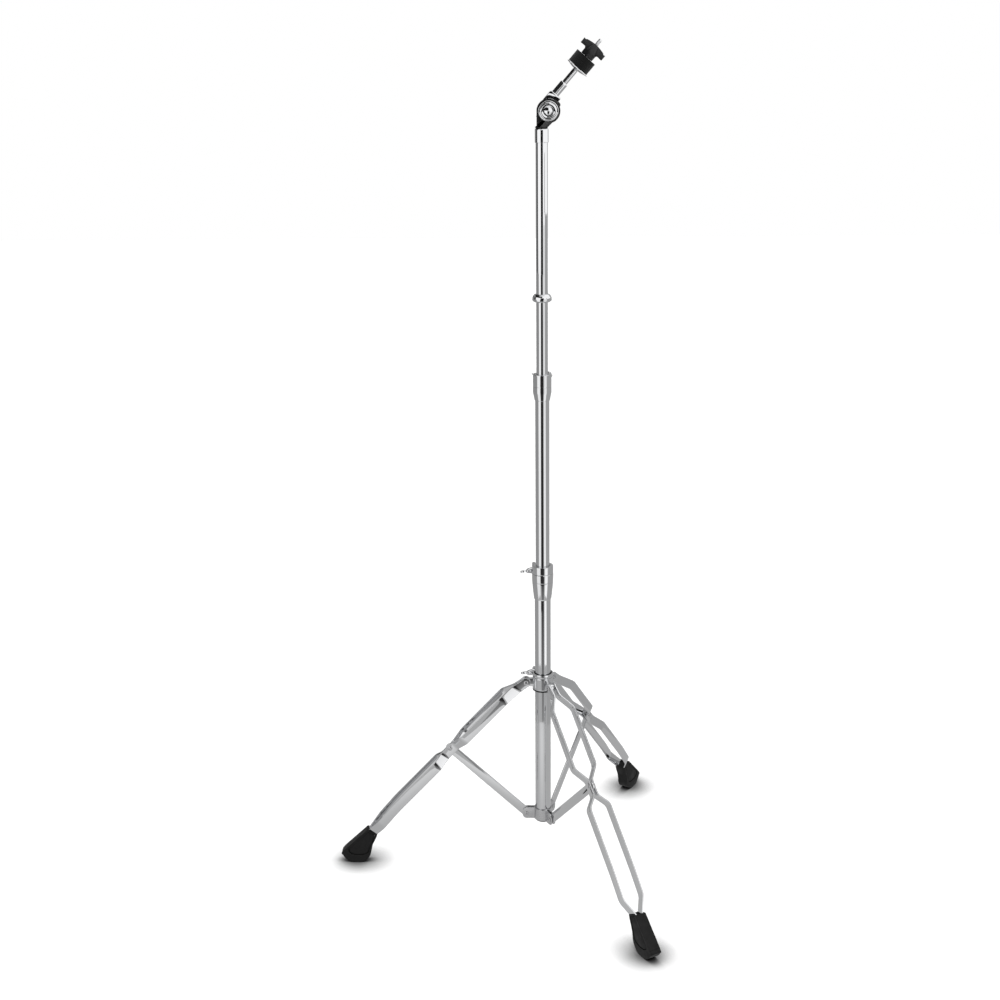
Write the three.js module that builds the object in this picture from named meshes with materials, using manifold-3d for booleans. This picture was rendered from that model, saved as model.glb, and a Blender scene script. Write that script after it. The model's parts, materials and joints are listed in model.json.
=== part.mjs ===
// A folding cymbal stand: three double-strip legs, three sliding tubes, two split clamps,
// a toothed tilter and a felted seat for the cymbal.
// Millimetres, +Z up. The tubes run along Z. Each leg is drawn in a frame of its own, with X
// running down the leg from the hub pivot, Y sideways and Z square to the strips.

import * as THREE from 'three';
import { mergeVertices, toCreasedNormals } from 'three/addons/utils/BufferGeometryUtils.js';
import Module from 'manifold-3d';

const wasm = await Module();
wasm.setup();
const { Manifold, Mesh: SolidMesh } = wasm;

// Facets of round work, and the distance at which points are welded
const tube_facets = 22;
const pin_facets = 12;
const bend_steps = 2;
const path_steps = 2;
const arc_steps = 6;
const weld = 0.0005;
const crease = THREE.MathUtils.degToRad(35);

// Clearances shared by many pieces
const seat_gap = 0.2;        // between pieces that are pressed or clamped together
const run_gap = 0.2;         // round a pin that something turns on
const slide_gap = 0.35;      // round a tube that slides
const side_gap = 0.4;        // between plates that swing past each other
const overrun = 5;           // how far a cutting tool runs past the metal

// Tubes
const tube_wall = 1.5;
const base_tube_od = 28;
const base_tube_length = 484;
const base_tube_drop = 11;   // below the bracket pivots
const middle_tube_od = 24;
const middle_tube_length = 440;
const middle_tube_out = 338; // standing out of the base tube
const top_tube_od = 19.5;
const top_tube_length = 540;
const top_tube_out = 398;    // standing out of the middle tube
const plug_flange = 1.6;
const plug_depth = 12;

// Leg linkage: pivots at one radius, stays as long as the upper part of the legs
const pivot_radius = 30;
const stay_length = 189.5;
const leg_spread = THREE.MathUtils.degToRad(43.2);
const leg_azimuths = { left: 180, front: -60, back: 60 };

// Leg strips, bent sheet
const strip_width = 17;
const strip_thickness = 2.5;
const strip_length = 438;    // from the hub pivot into the foot
const strip_bend = 14;       // radius of the bends seen from above
const crank_radius = 40;     // radius of the bends seen from the side
const crank_run = 50;
const crank_rise = 10.7;
const waist_rise = 13.5;     // waist pivot above the hub pivot, square to the leg
const toe_start = 340;
const toe_drop = 5.6;
const upper_bow = 21;        // strip centre to leg centre, upper loop
const lower_bow = 19.5;
const hub_flat = 20;         // straight past the hub pivot
const hub_splay = 28;
const waist_lead = 11;       // flat stretch above the waist pivot
const waist_tail = 18;
const waist_close = 24;      // run in which the upper loop closes
const waist_open = 19;
const toe_close = 29;        // run in which the lower loop closes
const toe_flat = 23;
const toe_half = 5.5;        // strip centre to leg centre in the foot

// Stays and the pivots they turn on
const stay_width = 15.8;
const stay_thickness = 3.2;
const stay_edge = 0.5;
const rivet_od = 6;
const rivet_head_od = 10;
const rivet_head_height = 1.9;
const rivet_dimple = 3.6;
const rivet_dimple_depth = 0.9;

// Bracket at the foot of the base tube
const bracket_wall = 2.2;
const bracket_top = 12;      // above the pivots
const bracket_bottom = 10;   // below the pivots
const bracket_plate = 2.2;
const bracket_end = 7.6;     // radius of the rounded lug ends

// Hub that slides on the base tube
const hub_od = 36.5;
const hub_body = 25;
const hub_drop = 13.5;       // body bottom below the pivots
const hub_ring = 7.2;        // clamp ring above the body
const hub_groove = 0.9;
const hub_groove_depth = 0.9;
const hub_lug = 7;
const hub_lug_end = 7.4;
const bush_wall = 1.5;
const bush_flange = 2.6;
const hub_edge = 1.2;

// Clamps: ears stand off the ring, split on their centre line
const clamp_azimuth = 115;
const upper_clamp_azimuth = 80;
const ear_plate = 4;
const ear_slit = 3;
const ear_corner = 4;
const bolt_od = 6;
const bolt_circle = 25;
const ear_past_bolt = 8.5;
const lower_ear_height = 26;
const lower_bolt_drop = 9;   // bolt below the base tube's end
const hub_ear_height = 16;
const hub_bolt_rise = 11;    // bolt above the hub pivots
const upper_bolt_circle = 21;
const upper_bolt_rise = 2.6;
const upper_ear_height = 12;
const nut_height = 5;
const bolt_tip = 2.5;           // bolt end beyond its nut
const nut_across = 11;

const lower_ring_od = 37;
const lower_ring_height = 7.5;  // above the base tube's end
const lower_seam = 7;           // seam below the base tube's end
const tulip_length = 47;
const tulip_top_od = 37.3;
const tulip_foot_wall = 0.9;
const tulip_steps = 4;
const tulip_straight = 2;
const upper_ring_od = 31.2;
const upper_ring_height = 9;
const upper_ring_drop = 23;
const upper_cone = 13;
const upper_foot_wall = 0.7;
const bush_lip = 1.2;           // bush standing proud of its clamp

// Wing bolts
const wing_hub_od = 12;
const wing_hub_end_od = 8;
const wing_hub_length = 13;
const wing_span = 34;
const wing_height = 20;
const wing_plate = 4;
const wing_lobe = 8;
const wing_root = 3;
const wing_dip = 12;
const wing_edge = 1.1;
const wing_tilt = THREE.MathUtils.degToRad(20);
const small_wing_share = 0.72;  // upper clamp's wing bolt against the others

// Stop ring on the top tube
const stop_ring_od = 32.2;
const stop_ring_height = 13.2;
const stop_ring_place = 130.6;  // its foot above the middle tube's end
const stop_ring_neck = 25;
const stop_ring_cone = 2.4;
const stop_ring_edge = 2.2;

// Feet, moulded rubber, outline seen from the side with the sole flat on the floor
const foot_width = 21;
const foot_round = 2;
const foot_gap = 0.3;
const foot_panel_share = 0.74;  // side panel against the outline
const foot_panel_depth = 0.9;
const foot_neck_height = 59.5;  // leg centre line at the foot's mouth, above the floor
const foot_neck_half = 9.2;     // half the mouth, along the slope of its lip
const foot_lip_out = 11;        // mouth's outer corner beyond the strips' centre
const foot_lip_up = 3.3;
const foot_heel_in = 8.9;       // inner corner, towards the tube
const foot_heel_height = 50;
const foot_waist_in = 3.4;
const foot_waist_height = 33;
const foot_sole_start = 4.6;
const foot_heel_lift = 19.5;
const foot_sole_back = 20;
const foot_sole_front = 38;
const foot_sole_round = 6;
const foot_toe_out = 57;
const foot_toe_height = 18.5;
const foot_instep_out = 53.5;
const foot_instep_height = 24.5;
const tread_grooves = 4;
const tread_width = 2;
const tread_depth = 1.2;

// Tilter
const tilt_angle = THREE.MathUtils.degToRad(41.3);
const tilter_radius = 19.1;
const tilter_offset = 10.8;     // disc centre beside the tubes' line
const tilter_rise = 39;         // disc centre above the top tube's end
const tilter_depth = 19;
const tilter_split = 3;         // both halves' faces apart, teeth between
const tilter_foot_rise = 12.2;  // foot of the body above the tube's end
const tilter_foot_half = 8.1;
const tilter_slant_out = 17.1;
const tilter_slant_rise = 21.1;
const tilter_rim = 1.6;
const tilter_rim_height = 0.9;
const tilter_clear = 0.5;
const stem_length = 9;
const sleeve_od = 22;
const sleeve_above = 11.3;      // above the top tube's end
const sleeve_below = 10.5;
const sleeve_edge = 0.8;
const teeth = 18;
const tooth_height = 1.2;
const tooth_inner = 11.5;
const tooth_outer = 16;
const cap_radius = 16.4;
const cap_step_radius = 12.4;
const cap_height = 1.6;
const cap_step = 1.1;
const cap_bolt_radius = 8.3;
const cap_bolt_height = 3.6;
const tilter_bolt_od = 7;
const arm_left = 18;            // arm block beside the disc centre, seen along the rod
const arm_right = 2.6;
const arm_top = 27;
const arm_corner = 3.5;
const arm_boss_od = 12.8;
const arm_boss_height = 22;
const arm_boss_taper = 1.5;
const rear_wing_radius = 21.5;
const rear_wing_height = 9;
const rear_wing_width = 13;
const rear_hub_od = 16;
const rear_hub_height = 8;
const rear_wing_angle = THREE.MathUtils.degToRad(38);

// Rod and seat, measured along the rod from the tilter's centre
const rod_offset = -9;
const rod_od = 8.8;
const rod_root = 21;
const rod_shoulder = 75.6;
const rod_socket_gap = 0.15;
const stud_od = 6.35;
const stud_end = 136;
const thread_start = 103;
const thread_pitch = 3;
const thread_depth = 0.45;
const washer_od = 40.3;
const washer_sheet = 1.2;
const washer_foot_od = 15;
const washer_cone = 2.6;
const washer_hub = 2.4;
const felt_od = 37;
const felt_height = 10.4;
const felt_round = 1.6;
const felt_gap = 0.25;
const felt_bore_gap = 0.4;
const seat_flange = 1.6;
const seat_sleeve_wall = 1.6;
const seat_sleeve_length = 21;
const top_nut_od = 21.8;
const top_nut_height = 9.5;
const top_wing_span = 43.3;
const top_wing_crown = 13.6;
const top_wing_tip = 10;
const top_wing_plate = 6;
const top_wing_round = 1.5;
const top_wing_edge = 0.8;

// Colours from the photograph
const chrome = new THREE.MeshStandardMaterial({ color: 0xc9cacc, roughness: 0.12, metalness: 1 });
const steel = new THREE.MeshStandardMaterial({ color: 0xa9abad, roughness: 0.25, metalness: 1 });
const rubber = new THREE.MeshStandardMaterial({ color: 0x1b1b1c, roughness: 0.75, metalness: 0 });
const plastic = new THREE.MeshStandardMaterial({ color: 0x151516, roughness: 0.4, metalness: 0 });
const black_paint = new THREE.MeshStandardMaterial({ color: 0x19191a, roughness: 0.3, metalness: 0.1 });
const felt = new THREE.MeshStandardMaterial({ color: 0x141415, roughness: 0.95, metalness: 0 });

const stand = new THREE.Group();

// Solids from geometry and back

function solidFrom(geometry) {
  const bare = new THREE.BufferGeometry();
  bare.setAttribute('position', geometry.getAttribute('position'));
  if (geometry.index) bare.setIndex(geometry.index);
  const welded = mergeVertices(bare, weld);
  const corners = welded.index.array;
  const kept = [];
  for (let i = 0; i < corners.length; i += 3) {
    const [a, b, c] = corners.slice(i, i + 3);
    if (a !== b && b !== c && c !== a) kept.push(a, b, c);
  }
  return new Manifold(new SolidMesh({
    numProp: 3,
    vertProperties: new Float32Array(welded.attributes.position.array),
    triVerts: new Uint32Array(kept),
  }));
}

function geometryOf(solid) {
  const mesh = solid.getMesh();
  const geometry = new THREE.BufferGeometry();
  geometry.setAttribute('position', new THREE.BufferAttribute(mesh.vertProperties, mesh.numProp));
  geometry.setIndex(new THREE.BufferAttribute(mesh.triVerts, 1));
  return toCreasedNormals(geometry, crease);
}

function place(name, solid, material, parent) {
  const mesh = new THREE.Mesh(geometryOf(solid), material.clone());
  mesh.name = name;
  parent.add(mesh);
}

const joined = (...solids) => Manifold.union(solids);
const turned = (solid, x, y, z) => solid.rotate([x, y, z]);
const point = (x, y) => new THREE.Vector2(x, y);

// A closed outline of radius and height, turned about Z
function revolve(outline, facets = tube_facets) {
  const loop = THREE.ShapeUtils.isClockWise(outline) ? [...outline].reverse() : outline;
  const on_axis = loop[0].x === 0 && loop[loop.length - 1].x === 0;
  const points = on_axis ? loop : [...loop, loop[0]];
  return solidFrom(new THREE.LatheGeometry(points, facets).rotateX(Math.PI / 2));
}

function disc(radius, low, high, facets = tube_facets) {
  return revolve([point(0, low), point(radius, low), point(radius, high), point(0, high)], facets);
}

function tube(outer, inner, low, high, facets = tube_facets) {
  return revolve([point(inner, low), point(outer, low), point(outer, high), point(inner, high)], facets);
}

// A flat shape, thickened evenly both ways from its own plane, edges bevelled where asked
function plate(shape, thickness, round = 0, steps = bend_steps) {
  const geometry = new THREE.ExtrudeGeometry(shape, {
    depth: thickness - 2 * round,
    bevelEnabled: round > 0,
    bevelThickness: round,
    bevelSize: round,
    bevelOffset: -round,
    bevelSegments: 1,
    curveSegments: steps,
  });
  return solidFrom(geometry.translate(0, 0, round - thickness / 2));
}

// The same, standing upright: the shape's Y becomes Z
const upright = (shape, thickness, round, steps) =>
  turned(plate(shape, thickness, round, steps), 90, 0, 0);

function roundedBox(x0, x1, y0, y1, corner) {
  const shape = new THREE.Shape();
  shape.moveTo(x0, y0);
  shape.lineTo(x1 - corner, y0);
  shape.quadraticCurveTo(x1, y0, x1, y0 + corner);
  shape.lineTo(x1, y1 - corner);
  shape.quadraticCurveTo(x1, y1, x1 - corner, y1);
  shape.lineTo(x0, y1);
  shape.closePath();
  return shape;
}

function box(x0, x1, y0, y1, z0, z1) {
  const block = new THREE.BoxGeometry(x1 - x0, y1 - y0, z1 - z0);
  return solidFrom(block.translate((x0 + x1) / 2, (y0 + y1) / 2, (z0 + z1) / 2));
}

// A bar with parallel edges and round ends, from one pivot to another
function linkShape(length, width) {
  const shape = new THREE.Shape();
  shape.moveTo(0, -width / 2);
  shape.lineTo(length, -width / 2);
  shape.absarc(length, 0, width / 2, -Math.PI / 2, Math.PI / 2);
  shape.lineTo(0, width / 2);
  shape.absarc(0, 0, width / 2, Math.PI / 2, 1.5 * Math.PI);
  return shape;
}

// A bent path: straight runs joined by curves of about the given radius
function bentPath(corners, radius) {
  const path = new THREE.Path();
  path.moveTo(corners[0].x, corners[0].y);
  for (let i = 1; i < corners.length - 1; i++) {
    const into = corners[i].clone().sub(corners[i - 1]).normalize();
    const out = corners[i + 1].clone().sub(corners[i]).normalize();
    const turn = Math.acos(Math.min(1, into.dot(out)));
    const reach = radius * Math.tan(turn / 2);
    const start = corners[i].clone().addScaledVector(into, -reach);
    const end = corners[i].clone().addScaledVector(out, reach);
    path.lineTo(start.x, start.y);
    path.quadraticCurveTo(corners[i].x, corners[i].y, end.x, end.y);
  }
  const last = corners[corners.length - 1];
  path.lineTo(last.x, last.y);
  return path.getPoints(path_steps);
}

// An even band along a path
function ribbonShape(path, width) {
  const side = (half) => path.map((spot, i) => {
    const before = path[Math.max(0, i - 1)];
    const after = path[Math.min(path.length - 1, i + 1)];
    const along = after.clone().sub(before).normalize();
    return point(spot.x - along.y * half, spot.y + along.x * half);
  });
  return new THREE.Shape([...side(-width / 2), ...side(width / 2).reverse()]);
}

const turnedAbout = (azimuth, solid) => turned(solid, 0, 0, azimuth);
const onEachLeg = (solid) => joined(...Object.values(leg_azimuths).map((a) => turnedAbout(a, solid)));

// A pin along Z through a stack of plates, headed at both ends, each head dimpled
function rivet(stack) {
  const half = stack / 2 + seat_gap;
  const head = half + rivet_head_height;
  const inner = rivet_dimple / 2;
  return revolve([
    point(0, -head + rivet_dimple_depth),
    point(inner, -head),
    point(rivet_head_od / 2, -half),
    point(rivet_od / 2, -half),
    point(rivet_od / 2, half),
    point(rivet_head_od / 2, half),
    point(inner, head),
    point(0, head - rivet_dimple_depth),
  ], pin_facets);
}

// One pin for each leg, in a frame that is itself turned
function placeOnLegs(prefix, pin, parent, frame_azimuth) {
  for (const [side, azimuth] of Object.entries(leg_azimuths)) {
    place(`${prefix}_${side}`, turnedAbout(azimuth - frame_azimuth, pin), steel, parent);
  }
}

const acrossLeg = (solid) => turned(solid, 90, 0, 0);
const rivetHole = (length, gap) => acrossLeg(disc(rivet_od / 2 + gap, -length, length, pin_facets));

// Heights on the stand, from the bracket pivots up

const base_end = base_tube_length - base_tube_drop;
const middle_end = base_end + middle_tube_out;
const top_end = middle_end + top_tube_out;
const hub_pivot_height = 2 * stay_length * Math.sin(leg_spread);

// Tubes

function buildTubes() {
  const ring = (od, length, end) => tube(od / 2, od / 2 - tube_wall, end - length, end);
  place('base_tube', ring(base_tube_od, base_tube_length, base_end), chrome, stand);
  place('middle_tube', ring(middle_tube_od, middle_tube_length, middle_end), chrome, stand);
  place('top_tube', ring(top_tube_od, top_tube_length, top_end), chrome, stand);
  const bore = base_tube_od / 2 - tube_wall - seat_gap;
  const plug = joined(
    disc(base_tube_od / 2, -base_tube_drop - plug_flange - seat_gap, -base_tube_drop - seat_gap),
    disc(bore, -base_tube_drop - plug_flange, -base_tube_drop + plug_depth),
  );
  place('base_tube_plug', plug, plastic, stand);
}

// Bracket: a band on the tube with a pair of plates for each stay

function buildBracket() {
  const bore = base_tube_od / 2 + seat_gap;
  const band = bore + bracket_wall;
  const gap = stay_thickness / 2 + side_gap;
  const lug = new THREE.Shape();
  lug.moveTo(bore + bracket_wall / 2, -bracket_bottom);
  lug.lineTo(pivot_radius - bracket_end, -bracket_bottom);
  const slope = bracket_end * 0.7;
  lug.quadraticCurveTo(pivot_radius, -bracket_bottom, pivot_radius + slope, -slope);
  lug.absarc(pivot_radius, 0, bracket_end, -Math.PI / 4, Math.PI / 4);
  lug.quadraticCurveTo(pivot_radius, bracket_top, pivot_radius - bracket_end, bracket_top);
  lug.lineTo(bore + bracket_wall / 2, bracket_top);
  const half = upright(lug, bracket_plate).translate([0, gap + bracket_plate / 2, 0]);
  const hole = rivetHole(pivot_radius, seat_gap).translate([pivot_radius, 0, 0]);
  const pair = joined(half, half.mirror([0, 1, 0])).subtract(hole);
  const bracket = joined(tube(band, bore, -bracket_bottom, bracket_top), onEachLeg(pair))
    .subtract(disc(bore, -bracket_bottom - overrun, bracket_top + overrun));
  place('bottom_bracket', bracket, steel, stand);
  const pin = acrossLeg(rivet(2 * (gap + bracket_plate))).translate([pivot_radius, 0, 0]);
  placeOnLegs('bracket_rivet', pin, stand, 0);
}

// Legs

const hub_half = hub_lug / 2 + side_gap + strip_thickness / 2;
const waist_half = stay_thickness / 2 + side_gap + strip_thickness / 2;
const waist_run = Math.sqrt(stay_length ** 2 - waist_rise ** 2);
const leg_slope = leg_spread + Math.atan2(waist_rise, waist_run);

function strip(side, grow = 0) {
  const plan = bentPath([
    point(-strip_width, hub_half),
    point(hub_flat, hub_half),
    point(hub_flat + hub_splay, upper_bow),
    point(waist_run - waist_lead - waist_close, upper_bow),
    point(waist_run - waist_lead, waist_half),
    point(waist_run + waist_tail, waist_half),
    point(waist_run + waist_tail + waist_open, lower_bow),
    point(strip_length - toe_flat - toe_close, lower_bow),
    point(strip_length - toe_flat, toe_half),
    point(strip_length + grow, toe_half),
  ], strip_bend);
  const edge = bentPath([
    point(0, 0),
    point(crank_run, crank_rise),
    point(toe_start, crank_rise),
    point(strip_length + grow, crank_rise - toe_drop),
  ], crank_radius);
  const sheet = plate(ribbonShape(plan, strip_thickness + 2 * grow), 2 * strip_width + 2 * crank_rise);
  const outline = joined(
    upright(ribbonShape(edge, strip_width + 2 * grow), 2 * upper_bow + 2 * strip_width),
    acrossLeg(disc(strip_width / 2, -upper_bow - strip_width, upper_bow + strip_width)),
  );
  const half = Manifold.intersection([sheet, outline])
    .subtract(rivetHole(upper_bow, run_gap))
    .subtract(rivetHole(upper_bow, seat_gap).translate([waist_run, 0, waist_rise]));
  return side > 0 ? half : half.mirror([0, 1, 0]);
}

// The foot's own frame stands level, with its origin on the strips' centre line at the mouth
const foot_x = strip_length - toe_flat;
const toe_fall = toe_drop * (strip_length - toe_flat - toe_start) / (strip_length - toe_start);
const foot_z = crank_rise - toe_fall;
const levelled = (solid) => turned(solid, 0, -THREE.MathUtils.radToDeg(leg_slope), 0)
  .translate([foot_x, 0, foot_z]);

function footShape() {
  const down = -foot_neck_height;
  const shape = new THREE.Shape();
  shape.moveTo(foot_lip_out, foot_lip_up);
  shape.lineTo(-foot_neck_half * 0.85, -foot_neck_half * 0.38);
  const heel = down + foot_heel_height;
  shape.quadraticCurveTo(-foot_heel_in - 1.5 * foot_gap, -foot_neck_half / 2, -foot_heel_in, heel);
  shape.lineTo(-foot_waist_in, down + foot_waist_height);
  shape.lineTo(foot_sole_start, down + foot_heel_lift);
  const low = down + foot_sole_round;
  shape.quadraticCurveTo(foot_sole_start + foot_sole_round, low, foot_sole_back, down);
  shape.lineTo(foot_sole_front, down);
  shape.quadraticCurveTo(foot_toe_out - foot_sole_round, low, foot_toe_out, down + foot_toe_height);
  const toe_mid = (foot_toe_height + foot_instep_height) / 2;
  const instep = down + foot_instep_height;
  shape.quadraticCurveTo(foot_toe_out, down + toe_mid, foot_instep_out, instep);
  shape.closePath();
  return shape;
}

function foot() {
  const shape = footShape();
  const shell = upright(shape, foot_width, foot_round);
  const middle_x = (foot_toe_out - foot_heel_in) / 2;
  const middle_z = -foot_neck_height / 2;
  const panel = upright(shape, 2 * foot_panel_depth)
    .translate([-middle_x, 0, -middle_z])
    .scale([foot_panel_share, 1, foot_panel_share])
    .translate([middle_x, 0, middle_z]);
  let body = shell
    .subtract(panel.translate([0, -foot_width / 2, 0]))
    .subtract(panel.translate([0, foot_width / 2, 0]));
  const sole = foot_sole_front - foot_sole_back;
  for (let i = 0; i < tread_grooves; i++) {
    const x = foot_sole_back + sole * (i + 0.5) / tread_grooves;
    body = body.subtract(box(x - tread_width / 2, x + tread_width / 2, -foot_width, foot_width,
      -foot_neck_height - overrun, -foot_neck_height + tread_depth));
  }
  return levelled(body).subtract(strip(1, foot_gap)).subtract(strip(-1, foot_gap));
}

function buildLegs() {
  const right_strip = strip(1);
  const left_strip = strip(-1);
  const rubber_foot = foot();
  const waist_rivet = acrossLeg(rivet(2 * waist_half + strip_thickness))
    .translate([waist_run, 0, waist_rise]);
  const bar = upright(linkShape(stay_length, stay_width), stay_thickness, stay_edge)
    .subtract(rivetHole(stay_width, run_gap))
    .subtract(rivetHole(stay_width, run_gap).translate([stay_length, 0, 0]));
  for (const [side, azimuth] of Object.entries(leg_azimuths)) {
    const arm = new THREE.Group();
    arm.rotation.z = THREE.MathUtils.degToRad(azimuth);
    stand.add(arm);
    const leg = new THREE.Group();
    leg.position.set(pivot_radius, 0, hub_pivot_height);
    leg.rotation.y = leg_slope;
    arm.add(leg);
    const stay = new THREE.Group();
    stay.position.x = pivot_radius;
    stay.rotation.y = -leg_spread;
    arm.add(stay);
    place(`leg_strip_${side}_a`, right_strip, chrome, leg);
    place(`leg_strip_${side}_b`, left_strip, chrome, leg);
    place(`waist_rivet_${side}`, waist_rivet, steel, leg);
    place(`foot_${side}`, rubber_foot, rubber, leg);
    place(`stay_${side}`, bar, chrome, stay);
  }
}

// Clamp fittings, in a frame with X out through the ears and Y along the bolt

function ears(circle, height, bolt_height, ring_radius) {
  const reach = circle + ear_past_bolt;
  const low = bolt_height - height / 2;
  const shape = roundedBox(ring_radius, reach, low, low + height, ear_corner);
  return upright(shape, 2 * ear_plate + ear_slit, ear_corner / 4);
}

function earCuts(circle, bolt_height, low, high) {
  const slit = box(0, circle + 2 * ear_past_bolt, -ear_slit / 2, ear_slit / 2, low, high);
  const hole = turned(disc(bolt_od / 2 + run_gap, -circle, circle, pin_facets), 90, 0, 0);
  return joined(slit, hole.translate([circle, 0, bolt_height]));
}

const ear_half = ear_plate + ear_slit / 2;

// Head of a wing bolt or nut: a tapered boss with two lobed wings, axis along Z
function wingHead(scale) {
  const half = wing_span / 2;
  const lobe = wing_lobe;
  const shape = new THREE.Shape();
  shape.moveTo(-wing_hub_end_od / 2, wing_root);
  shape.lineTo(wing_hub_end_od / 2, wing_root);
  shape.quadraticCurveTo(half * 0.6, wing_root * 2, half, wing_height - lobe);
  shape.quadraticCurveTo(half, wing_height, half - lobe, wing_height);
  shape.quadraticCurveTo(half / 2, wing_height, wing_hub_end_od / 2, wing_dip);
  shape.lineTo(-wing_hub_end_od / 2, wing_dip);
  shape.quadraticCurveTo(-half / 2, wing_height, lobe - half, wing_height);
  shape.quadraticCurveTo(-half, wing_height, -half, wing_height - lobe);
  shape.quadraticCurveTo(-half * 0.6, wing_root * 2, -wing_hub_end_od / 2, wing_root);
  const boss = revolve([
    point(0, 0),
    point(wing_hub_od / 2, 0),
    point(wing_hub_od / 2, wing_root),
    point(wing_hub_end_od / 2, wing_hub_length - wing_edge),
    point(wing_hub_end_od / 2 - wing_edge, wing_hub_length),
    point(0, wing_hub_length),
  ], pin_facets);
  return joined(boss, upright(shape, wing_plate, wing_edge)).scale(scale);
}

function wingBolt(scale) {
  const near = ear_half + run_gap;
  const tip = -near - nut_height - bolt_tip;
  const shank = disc(bolt_od / 2, tip, near + wing_root, pin_facets);
  return joined(wingHead(scale).translate([0, 0, near]), shank);
}

function clampNut() {
  const nut = disc(nut_across / Math.sqrt(3), 0, nut_height, 6);
  return nut.subtract(disc(bolt_od / 2 + run_gap, -overrun, nut_height + overrun, pin_facets));
}

// Adds a clamp's bolt and nut, the bolt turned about its own axis by the tilt
function placeBolt(prefix, frame, circle, height, scale, tilt) {
  const bolt = new THREE.Group();
  bolt.position.set(circle, 0, height);
  bolt.rotation.set(-Math.PI / 2, 0, tilt);
  frame.add(bolt);
  place(`${prefix}_wing_bolt`, wingBolt(scale), chrome, bolt);
  const nut = turned(clampNut(), 90, 0, 0).translate([circle, -ear_half - run_gap, height]);
  place(`${prefix}_clamp_nut`, nut, steel, frame);
}

function clampFrame(azimuth, height) {
  const frame = new THREE.Group();
  frame.rotation.z = THREE.MathUtils.degToRad(azimuth);
  frame.position.z = height;
  stand.add(frame);
  return frame;
}

// Hub: body with three lugs, a clamp ring on top and a plastic bush inside

function buildHub() {
  const frame = clampFrame(clamp_azimuth, hub_pivot_height);
  const bush_bore = base_tube_od / 2 + slide_gap;
  const bore = bush_bore + bush_wall + seat_gap;
  const outer = hub_od / 2;
  const bottom = -hub_drop + bush_flange + seat_gap;
  const seam = hub_body - hub_drop;
  const top = seam + hub_ring;
  const body = revolve([
    point(bore, bottom),
    point(outer, bottom),
    point(outer, seam),
    point(outer - hub_groove_depth, seam),
    point(outer - hub_groove_depth, seam + hub_groove),
    point(outer, seam + hub_groove),
    point(outer, top - hub_edge),
    point(outer - hub_edge, top),
    point(bore, top),
  ]);
  const lug = upright(linkShape(pivot_radius, 2 * hub_lug_end), hub_lug)
    .subtract(rivetHole(hub_lug, seat_gap).translate([pivot_radius, 0, 0]));
  const lugs = turnedAbout(-clamp_azimuth, onEachLeg(lug));
  const ears_low = hub_bolt_rise - hub_ear_height / 2 - seat_gap;
  const hub = joined(body, lugs, ears(bolt_circle, hub_ear_height, hub_bolt_rise, outer - bush_wall))
    .subtract(disc(bore, -hub_body, top + overrun))
    .subtract(earCuts(bolt_circle, hub_bolt_rise, ears_low, top + overrun));
  place('leg_hub', hub, chrome, frame);
  const bush = joined(
    tube(outer - hub_edge / 2, bush_bore, -hub_drop, -hub_drop + bush_flange),
    tube(bush_bore + bush_wall, bush_bore, -hub_drop, top - hub_edge),
  );
  const bush_slit = box(0, outer + overrun, -ear_slit / 2, ear_slit / 2, -hub_body, top);
  place('hub_bush', bush.subtract(bush_slit), plastic, frame);
  const pin = acrossLeg(rivet(2 * hub_half + strip_thickness)).translate([pivot_radius, 0, 0]);
  placeOnLegs('hub_rivet', pin, frame, clamp_azimuth);
  placeBolt('hub', frame, bolt_circle, hub_bolt_rise, 1, wing_tilt);
}

// Lower clamp: a tulip sleeve on the base tube under a split ring

function buildLowerClamp() {
  const frame = clampFrame(clamp_azimuth, base_end);
  const bore = base_tube_od / 2 + seat_gap;
  const foot_radius = bore + tulip_foot_wall;
  const top_radius = tulip_top_od / 2;
  const low = -lower_seam - tulip_length;
  const ring = lower_ring_od / 2;
  const swell = [];
  for (let i = 0; i <= tulip_steps; i++) {
    const share = i / tulip_steps;
    swell.push(point(
      foot_radius + (top_radius - foot_radius) * Math.sin(share * Math.PI / 2),
      low + (tulip_length - tulip_straight) * share,
    ));
  }
  const clamp = revolve([
    point(bore, low),
    ...swell,
    point(top_radius, -lower_seam),
    point(top_radius - hub_groove_depth, -lower_seam),
    point(top_radius - hub_groove_depth, -lower_seam + hub_groove),
    point(ring, -lower_seam + hub_groove),
    point(ring, lower_ring_height - hub_edge),
    point(ring - hub_edge, lower_ring_height),
    point(bore, lower_ring_height),
  ]);
  const body = joined(clamp, ears(bolt_circle, lower_ear_height, -lower_bolt_drop, ring - bush_wall))
    .subtract(disc(bore, low - overrun, lower_ring_height + overrun))
    .subtract(earCuts(bolt_circle, -lower_bolt_drop, -lower_bolt_drop - lower_ear_height / 2 - seat_gap,
      lower_ring_height + overrun));
  place('lower_clamp', body, chrome, frame);
  place('lower_clamp_bush', clampBush(middle_tube_od, bore, lower_ring_height), plastic, frame);
  placeBolt('lower', frame, bolt_circle, -lower_bolt_drop, 1, wing_tilt);
}

// A collar that stands on the end of the outer tube and guides the inner one
function clampBush(inner_od, bore, ring_top) {
  return tube(bore - seat_gap, inner_od / 2 + slide_gap, seat_gap, ring_top + bush_lip);
}

// Upper clamp: a plain split cylinder with a coned foot

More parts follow.
